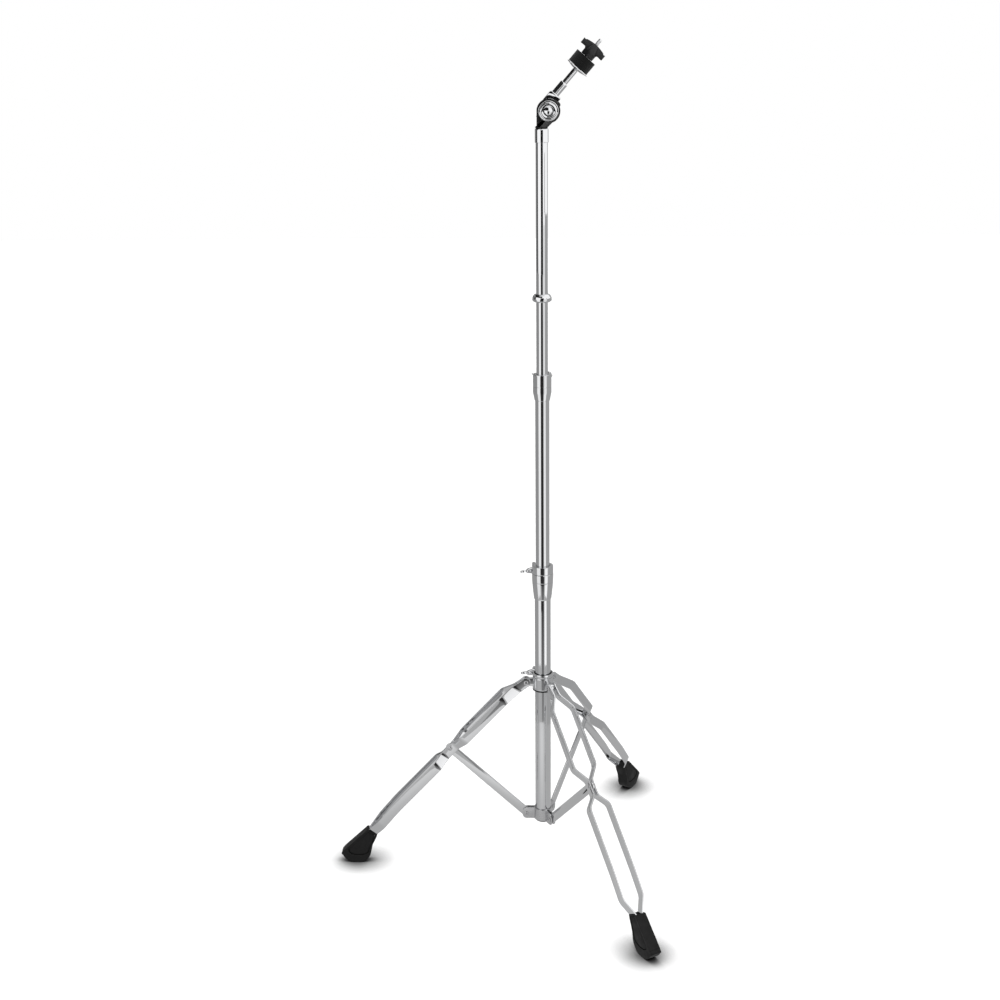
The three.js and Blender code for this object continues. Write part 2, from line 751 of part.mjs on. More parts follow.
function buildUpperClamp() {
  const frame = clampFrame(upper_clamp_azimuth, middle_end);
  const bore = middle_tube_od / 2 + seat_gap;
  const outer = upper_ring_od / 2;
  const foot_radius = bore + upper_foot_wall;
  const sleeve = revolve([
    point(bore, -upper_ring_drop - upper_cone),
    point(foot_radius, -upper_ring_drop - upper_cone),
    point(outer, -upper_ring_drop),
    point(outer, upper_ring_height - hub_edge),
    point(outer - hub_edge, upper_ring_height),
    point(bore, upper_ring_height),
  ]);
  const pair = ears(upper_bolt_circle, upper_ear_height, upper_bolt_rise, outer - bush_wall);
  const body = joined(sleeve, pair)
    .subtract(disc(bore, -upper_ring_drop - upper_cone - overrun, upper_ring_height + overrun))
    .subtract(earCuts(upper_bolt_circle, upper_bolt_rise, -upper_ear_height, upper_ring_height + overrun));
  place('upper_clamp', body, chrome, frame);
  place('upper_clamp_bush', clampBush(top_tube_od, bore, upper_ring_height), plastic, frame);
  placeBolt('upper', frame, upper_bolt_circle, upper_bolt_rise, small_wing_share, wing_tilt);
}

// Stop ring: the height memory on the top tube

function buildStopRing() {
  const bore = top_tube_od / 2 + seat_gap;
  const outer = stop_ring_od / 2;
  const foot = middle_end + stop_ring_place;
  const top = foot + stop_ring_height;
  const ring = revolve([
    point(bore, foot),
    point(stop_ring_neck / 2, foot),
    point(outer, foot + stop_ring_cone),
    point(outer, top - 3 * stop_ring_edge),
    point(outer - stop_ring_edge / 2, top - 1.6 * stop_ring_edge),
    point(outer - stop_ring_edge * 1.4, top - stop_ring_edge / 2),
    point(outer - 2.4 * stop_ring_edge, top),
    point(bore, top),
  ]);
  place('stop_ring', ring, chrome, stand);
}

// Tilter: the body stands on the top tube, the arm turns on it behind a ring of teeth.
// Its frame has the bolt along Y; the arm's frame is turned by the tilt, with Z along the rod.

const half_depth = tilter_depth / 2;
const half_split = tilter_split / 2;

// Teeth on a face at Y = 0, pointing along +Y
function toothRing() {
  const pitch = 2 * Math.PI * tooth_inner / teeth;
  const shape = new THREE.Shape([
    point(-pitch * 0.42, -seat_gap),
    point(pitch * 0.42, -seat_gap),
    point(0, tooth_height),
  ]);
  const ridge = turned(plate(shape, tooth_outer - tooth_inner), 90, 0, 90)
    .translate([(tooth_outer + tooth_inner) / 2, 0, 0]);
  const ring = [];
  for (let i = 0; i < teeth; i++) ring.push(turnedAbout(360 * i / teeth, ridge));
  return turned(Manifold.union(ring), -90, 0, 0);
}

function tilterBody() {
  const shape = new THREE.Shape();
  const foot = tilter_foot_rise - tilter_rise;
  const left = -Math.min(tilter_foot_half + tilter_offset, tilter_radius);
  const slant_top = tilter_slant_rise - tilter_rise;
  const slant_x = tilter_slant_out - tilter_offset;
  shape.moveTo(left, foot);
  shape.lineTo(tilter_foot_half - tilter_offset, foot);
  shape.lineTo(slant_x, slant_top);
  const end = Math.PI - Math.acos(-left / tilter_radius);
  shape.absarc(0, 0, tilter_radius, Math.atan2(slant_top, slant_x), end);
  shape.closePath();
  const front = upright(shape, half_depth - half_split, 0, arc_steps)
    .translate([0, -(half_depth + half_split) / 2, 0]);
  const sweep = acrossLeg(disc(tilter_radius + tilter_clear, -half_split, tilter_depth));
  const neck = upright(shape, tilter_depth, 0, arc_steps)
    .subtract(box(-2 * tilter_radius, 2 * tilter_radius, -half_split, tilter_depth,
      slant_top, 2 * tilter_radius))
    .subtract(turned(disc(tilter_radius + tilter_clear, -half_split, tilter_depth), -90, 0, 0))
    .subtract(sweep.intersect(box(-2 * tilter_depth, 2 * tilter_depth,
      -half_split, tilter_depth, foot, tilter_rise)));
  const tube_bore = top_tube_od / 2 - tube_wall - seat_gap;
  const stem = joined(
    disc(top_tube_od / 2, seat_gap - tilter_rise, foot + overrun / 2),
    disc(tube_bore, -tilter_rise - stem_length, foot),
  ).translate([-tilter_offset, 0, 0]);
  const rim_front = -half_depth - tilter_rim_height;
  const rim_back = half_depth - seat_gap;
  const rim = turned(tube(tilter_radius, tilter_radius - tilter_rim, rim_back, -rim_front), 90, 0, 0);
  const hole = acrossLeg(disc(tilter_bolt_od / 2 + run_gap, -tilter_depth, tilter_depth, pin_facets));
  return joined(front, neck, stem, rim, toothRing().translate([0, -half_split, 0])).subtract(hole);
}

function tilterArm() {
  const shape = new THREE.Shape();
  const inner = tilter_radius + tilter_clear;
  const reach = tilter_radius - tilter_clear;
  shape.moveTo(-arm_left, 0);
  shape.lineTo(-arm_left, arm_top - arm_corner);
  shape.quadraticCurveTo(-arm_left, arm_top, -arm_left + arm_corner, arm_top);
  shape.lineTo(arm_right, arm_top);
  shape.lineTo(arm_right, inner);
  shape.absarc(0, 0, reach, Math.PI / 2 - arm_right / reach, -Math.acos(-arm_left / reach), true);
  shape.closePath();
  const rear = upright(shape, half_depth - half_split, 0, arc_steps)
    .translate([0, (half_depth + half_split) / 2, 0]);
  const block = upright(roundedBox(-arm_left, arm_right, 0, arm_top, arm_corner / 2), tilter_depth)
    .subtract(turned(disc(inner, -tilter_depth, half_split), -90, 0, 0));
  const boss = revolve([
    point(0, arm_top - arm_corner),
    point(arm_boss_od / 2, arm_top - arm_corner),
    point(arm_boss_od / 2, arm_top + arm_boss_height - arm_boss_taper),
    point(arm_boss_od / 2 - arm_boss_taper, arm_top + arm_boss_height),
    point(0, arm_top + arm_boss_height),
  ]).translate([rod_offset, 0, 0]);
  const socket = disc(rod_od / 2 + rod_socket_gap, rod_root - rod_socket_gap, rod_shoulder)
    .translate([rod_offset, 0, 0]);
  const hole = acrossLeg(disc(tilter_bolt_od / 2 + run_gap, -tilter_depth, tilter_depth, pin_facets));
  const comb = turned(toothRing(), 0, 0, 180).translate([0, half_split, 0]);
  return joined(rear, block, boss, comb).subtract(socket).subtract(hole);
}

// Rod: thick to the shoulder, then a stud, threaded where the wing nut runs
function rod() {
  const outline = [
    point(0, rod_root),
    point(rod_od / 2, rod_root),
    point(rod_od / 2, rod_shoulder),
    point(stud_od / 2, rod_shoulder),
    point(stud_od / 2, thread_start),
  ];
  for (let z = thread_start; z + thread_pitch < stud_end; z += thread_pitch) {
    outline.push(point(stud_od / 2 - thread_depth, z + thread_pitch / 2));
    outline.push(point(stud_od / 2, z + thread_pitch));
  }
  outline.push(point(stud_od / 2 - thread_depth, stud_end), point(0, stud_end));
  return revolve(outline, pin_facets);
}

// Seat: dished washer, sleeve with a flange, two felts, wing nut
const seat_bore = stud_od / 2 + run_gap;
const washer_top = rod_shoulder + seat_gap + washer_hub;
const sleeve_foot = washer_top + seat_gap;
const sleeve_radius = seat_bore + seat_sleeve_wall;
const felt_start = sleeve_foot + seat_flange + felt_gap;
const felt_middle = felt_start + felt_height + felt_gap;
const nut_foot = felt_middle + felt_height + felt_gap;

function cupWasher() {
  const low = rod_shoulder + seat_gap;
  return revolve([
    point(seat_bore, low),
    point(washer_foot_od / 2, low),
    point(washer_od / 2, low + washer_cone),
    point(washer_od / 2, low + washer_cone + washer_sheet),
    point(washer_od / 2 - washer_sheet, low + washer_cone + washer_sheet),
    point(washer_foot_od / 2, washer_top),
    point(seat_bore, washer_top),
  ]);
}

function feltDisc(low) {
  const outer = felt_od / 2;
  const inner = sleeve_radius + felt_bore_gap;
  const high = low + felt_height;
  const round = felt_round;
  return revolve([
    point(inner, low),
    point(outer - round, low),
    point(outer, low + round),
    point(outer, high - round),
    point(outer - round, high),
    point(inner, high),
  ]);
}

function topNut() {
  const half = top_wing_span / 2;
  const root = top_nut_height;
  const shape = new THREE.Shape();
  shape.moveTo(-top_nut_od / 2, root - top_wing_round);
  shape.lineTo(top_nut_od / 2, root - top_wing_round);
  const bend = root + top_wing_round;
  shape.quadraticCurveTo(top_nut_od / 2, bend, half - top_wing_round, bend);
  shape.quadraticCurveTo(half, root + top_wing_round, half, root + 2 * top_wing_round);
  shape.lineTo(half, root + top_wing_tip);
  shape.quadraticCurveTo(0, root + 2 * top_wing_crown - top_wing_tip, -half, root + top_wing_tip);
  shape.lineTo(-half, root + 2 * top_wing_round);
  shape.quadraticCurveTo(-half, root + top_wing_round, -half + top_wing_round, root + top_wing_round);
  shape.quadraticCurveTo(-top_nut_od / 2, root + top_wing_round, -top_nut_od / 2, root - top_wing_round);
  const boss = revolve([
    point(0, 0),
    point(top_nut_od / 2 - top_wing_round, 0),
    point(top_nut_od / 2, top_wing_round),
    point(top_nut_od / 2, root),
    point(top_wing_plate * 0.9, root + top_wing_tip),
    point(0, root + top_wing_tip),
  ]);
  return joined(boss, upright(shape, top_wing_plate, top_wing_edge))
    .subtract(disc(stud_od / 2 + run_gap, -overrun, root + 2 * top_wing_crown, pin_facets))
    .translate([0, 0, nut_foot]);
}

function rearWingNut() {
  const wide = rear_wing_width / 2;
  const bar = roundedBox(0, rear_wing_radius, -wide, wide, rear_wing_width / 3);
  const wing = plate(bar, rear_wing_height - rear_hub_height / 2, top_wing_round)
    .translate([0, 0, rear_hub_height / 2 + rear_wing_height / 2]);
  const boss = revolve([
    point(0, 0),
    point(rear_hub_od / 2, 0),
    point(rear_hub_od / 2, rear_hub_height),
    point(rear_hub_od / 2 - top_wing_round, rear_hub_height + top_wing_round),
    point(0, rear_hub_height + top_wing_round),
  ]);
  const bore_top = rear_hub_height - 2 * top_wing_round;
  const bore = disc(tilter_bolt_od / 2 + run_gap, -overrun, bore_top, pin_facets);
  return joined(boss, wing, turnedAbout(180, wing)).subtract(bore);
}

function buildTilter() {
  const frame = new THREE.Group();
  frame.position.set(tilter_offset, 0, top_end + tilter_rise);
  stand.add(frame);
  const arm = new THREE.Group();
  arm.rotation.y = tilt_angle;
  frame.add(arm);
  place('tilter_body', tilterBody(), black_paint, frame);
  place('tilter_arm', tilterArm(), chrome, arm);
  const face = -half_depth - seat_gap;
  const cap = revolve([
    point(tilter_bolt_od / 2 + run_gap, 0),
    point(cap_radius, 0),
    point(cap_radius, cap_height * 0.6),
    point(cap_radius - cap_height * 0.4, cap_height),
    point(cap_step_radius + cap_step, cap_height),
    point(cap_step_radius, cap_height + cap_step),
    point(tilter_bolt_od / 2 + run_gap, cap_height + cap_step),
  ]);
  place('tilter_cap', turned(cap, 90, 0, 0).translate([0, face, 0]), chrome, frame);
  const under = cap_height + cap_step + seat_gap;
  const bolt = revolve([
    point(0, half_split - tilter_depth - rear_hub_height / 2),
    point(tilter_bolt_od / 2, half_split - tilter_depth - rear_hub_height / 2),
    point(tilter_bolt_od / 2, under),
    point(cap_bolt_radius, under),
    point(cap_bolt_radius, under + cap_bolt_height * 0.3),
    point(cap_bolt_radius * 0.87, under + cap_bolt_height * 0.62),
    point(cap_bolt_radius * 0.55, under + cap_bolt_height * 0.9),
    point(0, under + cap_bolt_height),
  ], pin_facets);
  place('tilter_bolt', turned(bolt, 90, 0, 0).translate([0, face, 0]), chrome, frame);
  const nut = new THREE.Group();
  nut.position.y = half_depth + run_gap;
  nut.rotation.set(-Math.PI / 2, 0, -rear_wing_angle);
  frame.add(nut);
  place('tilter_wing_nut', rearWingNut(), plastic, nut);

  const seat = new THREE.Group();
  seat.position.x = rod_offset;
  arm.add(seat);
  place('cymbal_rod', rod(), chrome, seat);
  place('cup_washer', cupWasher(), chrome, seat);
  const sleeve = joined(
    tube(washer_foot_od / 2 - felt_bore_gap, seat_bore, sleeve_foot, sleeve_foot + seat_flange),
    tube(sleeve_radius, seat_bore, sleeve_foot, sleeve_foot + seat_sleeve_length),
  );
  place('cymbal_sleeve', sleeve, plastic, seat);
  place('felt_lower', feltDisc(felt_start), felt, seat);
  place('felt_upper', feltDisc(felt_middle), felt, seat);
  place('top_wing_nut', topNut(), plastic, seat);

  const bore = top_tube_od / 2 + seat_gap;
  const collar = revolve([
    point(bore, top_end - sleeve_below),
    point(sleeve_od / 2 - sleeve_edge, top_end - sleeve_below),
    point(sleeve_od / 2, top_end - sleeve_below + sleeve_edge),
    point(sleeve_od / 2, top_end + sleeve_above - sleeve_edge),
    point(sleeve_od / 2 - sleeve_edge, top_end + sleeve_above),
    point(bore, top_end + sleeve_above),
  ]);
  place('tilter_sleeve', collar, chrome, stand);
}

buildTubes();
buildBracket();
buildLegs();
buildHub();
buildLowerClamp();
buildUpperClamp();
buildStopRing();
buildTilter();

// Set the stand down: origin under the middle of its bounds, soles on the floor
const whole = new THREE.Group();
whole.add(stand);
const bounds = new THREE.Box3().setFromObject(stand, true);
const centre = bounds.getCenter(new THREE.Vector3());
stand.position.set(-centre.x, -centre.y, -bounds.min.z);

export default whole;
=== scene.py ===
"""A chromed cymbal stand with folding double-strip legs, dressed over its measured frame."""

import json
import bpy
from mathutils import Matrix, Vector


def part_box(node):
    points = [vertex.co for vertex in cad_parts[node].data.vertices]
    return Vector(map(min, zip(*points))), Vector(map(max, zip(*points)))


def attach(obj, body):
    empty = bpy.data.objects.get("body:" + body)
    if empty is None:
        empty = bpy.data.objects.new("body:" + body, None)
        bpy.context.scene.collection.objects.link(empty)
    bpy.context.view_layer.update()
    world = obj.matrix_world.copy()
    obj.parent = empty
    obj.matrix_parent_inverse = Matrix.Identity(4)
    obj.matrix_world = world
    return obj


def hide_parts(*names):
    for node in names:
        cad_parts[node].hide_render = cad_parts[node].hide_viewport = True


bl_info = {
    "name": "Cymbal stand",
    "version": (1, 0, 0),
    "blender": (4, 5, 0),
    "location": "3D View > Sidebar > Stand",
    "description": "Builds a folding cymbal stand, its chrome, rubber and felt, and a white stage",
    "category": "Add Mesh",
}

from math import acos, atan2, cos, hypot, pi, radians, sin, sqrt, tau

import bmesh
import bpy
from bpy.props import FloatProperty, FloatVectorProperty, IntProperty, PointerProperty
from mathutils import Matrix, Vector, noise

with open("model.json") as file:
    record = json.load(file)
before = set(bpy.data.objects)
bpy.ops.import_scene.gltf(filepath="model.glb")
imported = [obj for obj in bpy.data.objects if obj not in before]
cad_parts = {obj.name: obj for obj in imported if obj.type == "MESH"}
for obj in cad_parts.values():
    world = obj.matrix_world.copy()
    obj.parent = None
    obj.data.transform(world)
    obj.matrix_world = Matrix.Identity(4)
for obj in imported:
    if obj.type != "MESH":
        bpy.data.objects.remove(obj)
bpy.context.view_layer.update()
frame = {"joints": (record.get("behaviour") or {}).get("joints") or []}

MM = 0.001
JOINTS = {joint["name"]: joint for joint in frame["joints"]}


def joint_point(name):
    """Where a joint stands at rest."""
    return Vector(JOINTS[name]["pos_m"])


# Places on the stand, read from its joints and nodes
LINE = Vector((joint_point("lower_swivel").x, joint_point("lower_swivel").y, 0))
BASE_END = joint_point("lower_swivel").z
MIDDLE_END = joint_point("upper_swivel").z
TOP_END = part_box("top_tube")[1][2]
STAY_PIVOT = joint_point("stay_left_fold")
HUB_PIVOT = joint_point("hub_on_left_leg")
WAIST = joint_point("leg_left_waist")
PIVOT_RADIUS = LINE.x - STAY_PIVOT.x
STAY_LENGTH = (WAIST - STAY_PIVOT).length
SPREAD = atan2(WAIST.z - STAY_PIVOT.z, STAY_PIVOT.x - WAIST.x)
LEGS = {"left": pi, "front": -pi / 3, "back": pi / 3}
TILT_CENTRE = joint_point("tilter_tilt")
ROD_WAY = Vector(JOINTS["top_wing_nut_turn"]["axis"])
TILT = atan2(ROD_WAY.x, ROD_WAY.z)
ROD_ACROSS = Vector((cos(TILT), 0, -sin(TILT)))
ROD_OFFSET = (joint_point("top_wing_nut_turn") - TILT_CENTRE).dot(ROD_ACROSS)

# How finely round work is turned
TURNS = 72
PIN_TURNS = 32
CREASE = radians(32)


def length(name, description, millimetres):
    return FloatProperty(name=name, description=description, default=millimetres * MM,
                         unit="LENGTH")


def angle(name, description, default):
    return FloatProperty(name=name, description=description, default=default, subtype="ANGLE")


def colour(name, description, default):
    return FloatVectorProperty(name=name, description=description, default=default, size=3,
                               subtype="COLOR")


def level(name, description, default):
    return FloatProperty(name=name, description=description, default=default, min=0)


class LegSettings(bpy.types.PropertyGroup):
    """The bent strips, the stays and their rivets."""

    strip_width: length("Strip width", "Height of a strip seen from the side", 17)
    strip_thickness: length("Strip thickness", "Gauge of the strip", 2.5)
    strip_length: length("Strip length", "From the hub pivot into the foot", 438)
    waist_rise: length("Waist rise", "Waist pivot above the leg's own line", 13.5)
    crank_rise: length("Crank rise", "How far the strip stands over its pivot line", 10.7)
    crank_run: length("Crank run", "Length over which the strip climbs above its pivot line", 50)
    toe_drop: length("Toe drop", "How far the strip falls again towards the foot", 5.6)
    toe_drop_start: length("Toe drop start", "From the hub pivot to where it starts to fall", 340)
    ease: length("Ease", "Length over which that climb and fall are rounded, each way", 9)
    toe_run: length("Toe run", "Straight length of strip in the foot", 23)
    upper_bow: length("Upper bow", "Strip to the leg's middle in the upper loop", 21)
    lower_bow: length("Lower bow", "Strip to the leg's middle in the lower loop", 19.5)
    toe_half: length("Toe spacing", "Strip to the leg's middle in the foot", 5.5)
    bend: length("Bend", "Length of metal taken up by a bend, each way", 4.5)
    stay_width: length("Stay width", "Width of the flat bars", 15.8)
    stay_thickness: length("Stay thickness", "Gauge of the flat bars", 3.2)
    side_gap: length("Side gap", "Between plates that swing past each other", 0.4)
    lug: length("Hub lug", "Thickness of a hub lug", 7)
    rivet_od: length("Rivet", "Shank diameter", 6)
    rivet_head: length("Rivet head", "Head diameter", 8.3)


class TubeSettings(bpy.types.PropertyGroup):
    """The three tubes and what is pressed on them."""

    wall: length("Wall", "Tube wall", 1.5)
    gap: length("Seat gap", "Between pieces pressed together", 0.2)
    slide_gap: length("Slide gap", "Round a tube that slides", 0.35)
    stop_ring_od: length("Stop ring", "Outside diameter", 32.2)


class ClampSettings(bpy.types.PropertyGroup):
    """The hub and the two clamps with their wing bolts."""

    azimuth: angle("Ear direction", "Where the hub's and lower clamp's ears point", radians(115))
    upper_azimuth: angle("Upper ear direction", "Where the upper clamp's ears point", radians(80))
    hub_od: length("Hub", "Outside diameter", 36.5)
    lower_od: length("Lower ring", "Outside diameter", 37)
    upper_od: length("Upper ring", "Outside diameter", 31.2)
    slit: length("Slit", "Width of the clamp's slit", 3)
    ear_plate: length("Ear", "Thickness of each ear", 4)
    bolt_circle: length("Bolt", "From the tubes' line to the hub's and lower clamp's bolts", 25)
    upper_bolt_circle: length("Upper bolt", "From the tubes' line to the upper clamp's bolt", 21)
    wing_span: length("Wing span", "Tip to tip", 34)
    wing_tilt: angle("Wing tilt", "Turn of the wing bolts about their own axis", radians(20))


class TilterSettings(bpy.types.PropertyGroup):
    """The tilter and the seat above it."""

    radius: length("Disc", "Radius of the tilter's disc", 19.1)
    foot_half: length("Foot half", "Half the width of the body's foot", 8.1)
    depth: length("Depth", "Both halves together", 19)
    split: length("Split", "Between the faces that carry the teeth", 3)
    teeth: IntProperty(name="Teeth", description="Number of radial teeth", default=36, min=6)
    rod_od: length("Rod", "Rod diameter", 8.8)
    stud_od: length("Stud", "Threaded stud", 6.35)
    pitch: length("Pitch", "Thread pitch", 1.27)
    felt_od: length("Felt", "Felt diameter", 37)
    washer_od: length("Cup washer", "Washer diameter", 40.3)


class FinishSettings(bpy.types.PropertyGroup):
    """Colours and gloss."""

    chrome: colour("Chrome", "Colour of the plating", (0.74, 0.745, 0.755))
    chrome_roughness: level("Chrome roughness", "Blur of the plating", 0.045)
    steel: colour("Rivets", "Colour of rivets and bracket", (0.62, 0.62, 0.63))
    rubber: colour("Rubber", "Colour of the feet", (0.0045, 0.0045, 0.0045))
    plastic: colour("Plastic", "Colour of bushes and nuts", (0.009, 0.009, 0.0095))
    paint: colour("Paint", "Colour of the tilter's body", (0.008, 0.008, 0.0085))
    felt: colour("Felt", "Colour of the felts", (0.004, 0.004, 0.004))


class StageSettings(bpy.types.PropertyGroup):
    """Floor, light, reflected studio and camera."""

    lens: FloatProperty(name="Lens", description="Focal length in mm", default=54.75, min=10)
    distance: length("Distance", "From the tubes to the camera", 2501.6)
    height: length("Height", "Camera above the floor", 1465.3)
    pitch: angle("Pitch", "Camera looks down by", 0.2969)
    yaw: angle("Yaw", "Camera turned to the left by", 0.0345)
    roll: angle("Roll", "Camera rolled by", -0.0108)
    bearing: angle("Bearing", "Camera round the stand", 0.0053)
    floor: length("Floor", "Half the side of the floor", 9000)
    lamp: level("Lamp", "Strength of the overhead lamp", 2.35)
    lamp_width: angle("Lamp width", "How wide the overhead lamp stands in the sky", radians(110))
    contact: length("Contact shade", "How far the shade round the feet reaches", 50)
    contact_depth: level("Contact depth", "How quickly that shade darkens towards the feet", 2.6)
    floor_lift: level("Floor lift", "Whitens the floor in the camera alone", 0.14)
    sky: level("Sky", "Light from all round", 0.3)
    mirrored_floor: level("Mirrored floor", "Grey of the floor seen in the metal", 0.5)
    mirrored_patch: level("Mirrored patch", "Lighter floor near the camera", 0.8)


GROUPS = {
    "stand_legs": LegSettings,
    "stand_tubes": TubeSettings,
    "stand_clamps": ClampSettings,
    "stand_tilter": TilterSettings,
    "stand_finish": FinishSettings,
    "stand_stage": StageSettings,
}


# Finishes


def new_material(name, base, metallic, roughness):
    """A Principled material and its node tree."""
    made = bpy.data.materials.new(name)
    made.use_nodes = True
    shader = made.node_tree.nodes["Principled BSDF"]
    shader.inputs["Base Color"].default_value = (*base, 1)
    shader.inputs["Metallic"].default_value = metallic
    shader.inputs["Roughness"].default_value = roughness
    return made, made.node_tree, shader


def add_node(tree, kind, **values):
    """A shader node with some of its inputs set; an underscore stands for a space."""
    node = tree.nodes.new(f"ShaderNode{kind}")
    for name, value in values.items():
        node.inputs[name.replace("_", " ")].default_value = value
    return node


def wire(tree, *links):
    """Joins sockets, each given as from node, its output, to node, its input."""
    for start, output, end, into in links:
        tree.links.new(start.outputs[output], end.inputs[into])


def add_noise(tree, scale, detail=3.0, stretch=(1, 1, 1)):
    """Noise on Object coordinates, stretched where asked."""
    place = add_node(tree, "TexCoord")
    mapping = add_node(tree, "Mapping", Scale=stretch)
    texture = add_node(tree, "TexNoise", Scale=scale, Detail=detail)
    wire(tree, (place, "Object", mapping, "Vector"), (mapping, "Vector", texture, "Vector"))
    return texture.outputs["Fac"]


def spread_to(tree, value, low, high, socket):
    """Drives a socket with a value spread over a range."""
    ramp = add_node(tree, "MapRange", From_Min=0.3, From_Max=0.7, To_Min=low, To_Max=high)
    tree.links.new(value, ramp.inputs["Value"])
    tree.links.new(ramp.outputs["Result"], socket)


def mottle(tree, shader, value, base, change):
    """Base colour wanders round the given one."""
    mix = tree.nodes.new("ShaderNodeMix")
    mix.data_type = "RGBA"
    mix.inputs["A"].default_value = (*[c * (1 - change) for c in base], 1)
    mix.inputs["B"].default_value = (*[c * (1 + change) for c in base], 1)
    tree.links.new(value, mix.inputs["Factor"])
    tree.links.new(mix.outputs["Result"], shader.inputs["Base Color"])


def add_bump(tree, shader, value, strength, height):
    """Relief from a value, height in metres."""
    bump = add_node(tree, "Bump", Strength=strength, Distance=height)
    tree.links.new(value, bump.inputs["Height"])
    tree.links.new(bump.outputs["Normal"], shader.inputs["Normal"])


def chrome_finish(finish):
    """Bright plating over polished steel: faint drawing marks and wiped haze."""
    made, tree, shader = new_material("chrome plate", finish.chrome, 1, finish.chrome_roughness)
    haze = add_noise(tree, 38, 4)
    spread_to(tree, haze, finish.chrome_roughness * 0.7, finish.chrome_roughness * 1.7,
              shader.inputs["Roughness"])
    add_bump(tree, shader, add_noise(tree, 60, 2, (1, 1, 0.12)), 0.02, 0.1 * MM)
    return made


def steel_finish(finish):
    """Duller plating on rivets and pressed plates."""
    made, tree, shader = new_material("plated steel", finish.steel, 1, 0.2)
    grain = add_noise(tree, 220, 5)
    spread_to(tree, grain, 0.15, 0.3, shader.inputs["Roughness"])
    mottle(tree, shader, add_noise(tree, 45), finish.steel, 0.06)
    add_bump(tree, shader, grain, 0.08, 0.1 * MM)
    return made


def rubber_finish(finish):
    """Moulded black rubber with a fine matt skin and a little bloom."""
    made, tree, shader = new_material("moulded rubber", finish.rubber, 0, 0.6)
    shader.inputs["Specular IOR Level"].default_value = 0.3
    mottle(tree, shader, add_noise(tree, 60, 6), finish.rubber, 0.35)
    spread_to(tree, add_noise(tree, 90), 0.5, 0.72, shader.inputs["Roughness"])
    add_bump(tree, shader, add_noise(tree, 1400, 2), 0.25, 0.08 * MM)
    return made


def plastic_finish(finish):
    """Black moulded plastic with a light spark texture."""
    made, tree, shader = new_material("black plastic", finish.plastic, 0, 0.38)
    shader.inputs["Specular IOR Level"].default_value = 0.35
    spread_to(tree, add_noise(tree, 120), 0.3, 0.46, shader.inputs["Roughness"])
    add_bump(tree, shader, add_noise(tree, 1800, 2), 0.18, 0.06 * MM)
    return made


def paint_finish(finish):
    """Gloss black on a casting, with its faint orange peel."""
    made, tree, shader = new_material("gloss black paint", finish.paint, 0, 0.22)
    shader.inputs["Coat Weight"].default_value = 0.5
    shader.inputs["Coat Roughness"].default_value = 0.08
    spread_to(tree, add_noise(tree, 80), 0.18, 0.3, shader.inputs["Roughness"])
    add_bump(tree, shader, add_noise(tree, 420, 2), 0.12, 0.08 * MM)
    return made


def felt_finish(finish):
    """Pressed black wool: fibres as fine relief and a soft sheen."""
    made, tree, shader = new_material("black felt", finish.felt, 0, 0.96)
    shader.inputs["Specular IOR Level"].default_value = 0.1
    shader.inputs["Sheen Weight"].default_value = 0.12
    shader.inputs["Sheen Roughness"].default_value = 0.6
    fibre = add_noise(tree, 900, 8, (1, 1, 0.5))
    mottle(tree, shader, fibre, finish.felt, 0.7)
    add_bump(tree, shader, fibre, 0.7, 0.4 * MM)
    return made


FINISHES = {
    "chrome": chrome_finish,
    "plated_steel": steel_finish,
    "rubber": rubber_finish,
    "black_plastic": plastic_finish,
    "black_paint": paint_finish,
    "black_felt": felt_finish,
}
made_finishes = {}


def finish_for(slot):
    """The material of a slot, made once."""
    if slot not in made_finishes:
        made_finishes[slot] = FINISHES[slot](bpy.context.scene.stand_finish)
    return made_finishes[slot]


# Shaping


def close_holes(bm):
    """Caps whatever is still open."""
    rims = [edge for edge in bm.edges if edge.is_boundary]
    if rims:
        bmesh.ops.holes_fill(bm, edges=rims, sides=0)


def braced(profile, closed):
    """Braces each long side near both its ends, so that the shading turns only at corners."""
    near = 2 * MM
    ends = profile[1:] + (profile[:1] if closed else profile[-1:])
    points = []
    for (radius, height), (next_radius, next_height) in zip(profile, ends):
        points.append((radius, height))
        run = hypot(next_radius - radius, next_height - height)
        if run > 4 * near:
            points += [(radius + (next_radius - radius) * share,
                        height + (next_height - height) * share)
                       for share in (near / run, 1 - near / run)]
    return points


def spun(profile, steps=TURNS, start=0.0, sweep=tau):
    """Turns an outline of (radius, height) about Z. One that ends on the axis stays open."""
    bm = bmesh.new()
    closed = profile[0][0] > 0 or profile[-1][0] > 0
    corners = [bm.verts.new((radius, 0, height)) for radius, height in braced(profile, closed)]
    edges = [bm.edges.new(pair) for pair in zip(corners, corners[1:])]
    if closed:
        edges.append(bm.edges.new((corners[-1], corners[0])))
    bmesh.ops.rotate(bm, verts=corners, cent=(0, 0, 0), matrix=Matrix.Rotation(start, 3, "Z"))
    whole = sweep >= tau
    bmesh.ops.spin(bm, geom=corners + edges, axis=(0, 0, 1), cent=(0, 0, 0),
                   angle=sweep, steps=steps, use_merge=whole)
    if not whole:
        close_holes(bm)
    bmesh.ops.remove_doubles(bm, verts=bm.verts, dist=1e-7)
    return bm


def soften(bm, width, limit=28, segments=3):
    """Rounds every edge sharper than a limit in degrees."""
    bmesh.ops.recalc_face_normals(bm, faces=bm.faces)
    edges = [edge for edge in bm.edges
             if edge.is_manifold and edge.calc_face_angle(0) > radians(limit)]
    bmesh.ops.bevel(bm, geom=edges, offset=width, offset_type="OFFSET", segments=segments,
                    profile=0.5, affect="EDGES", clamp_overlap=True, material=-1)


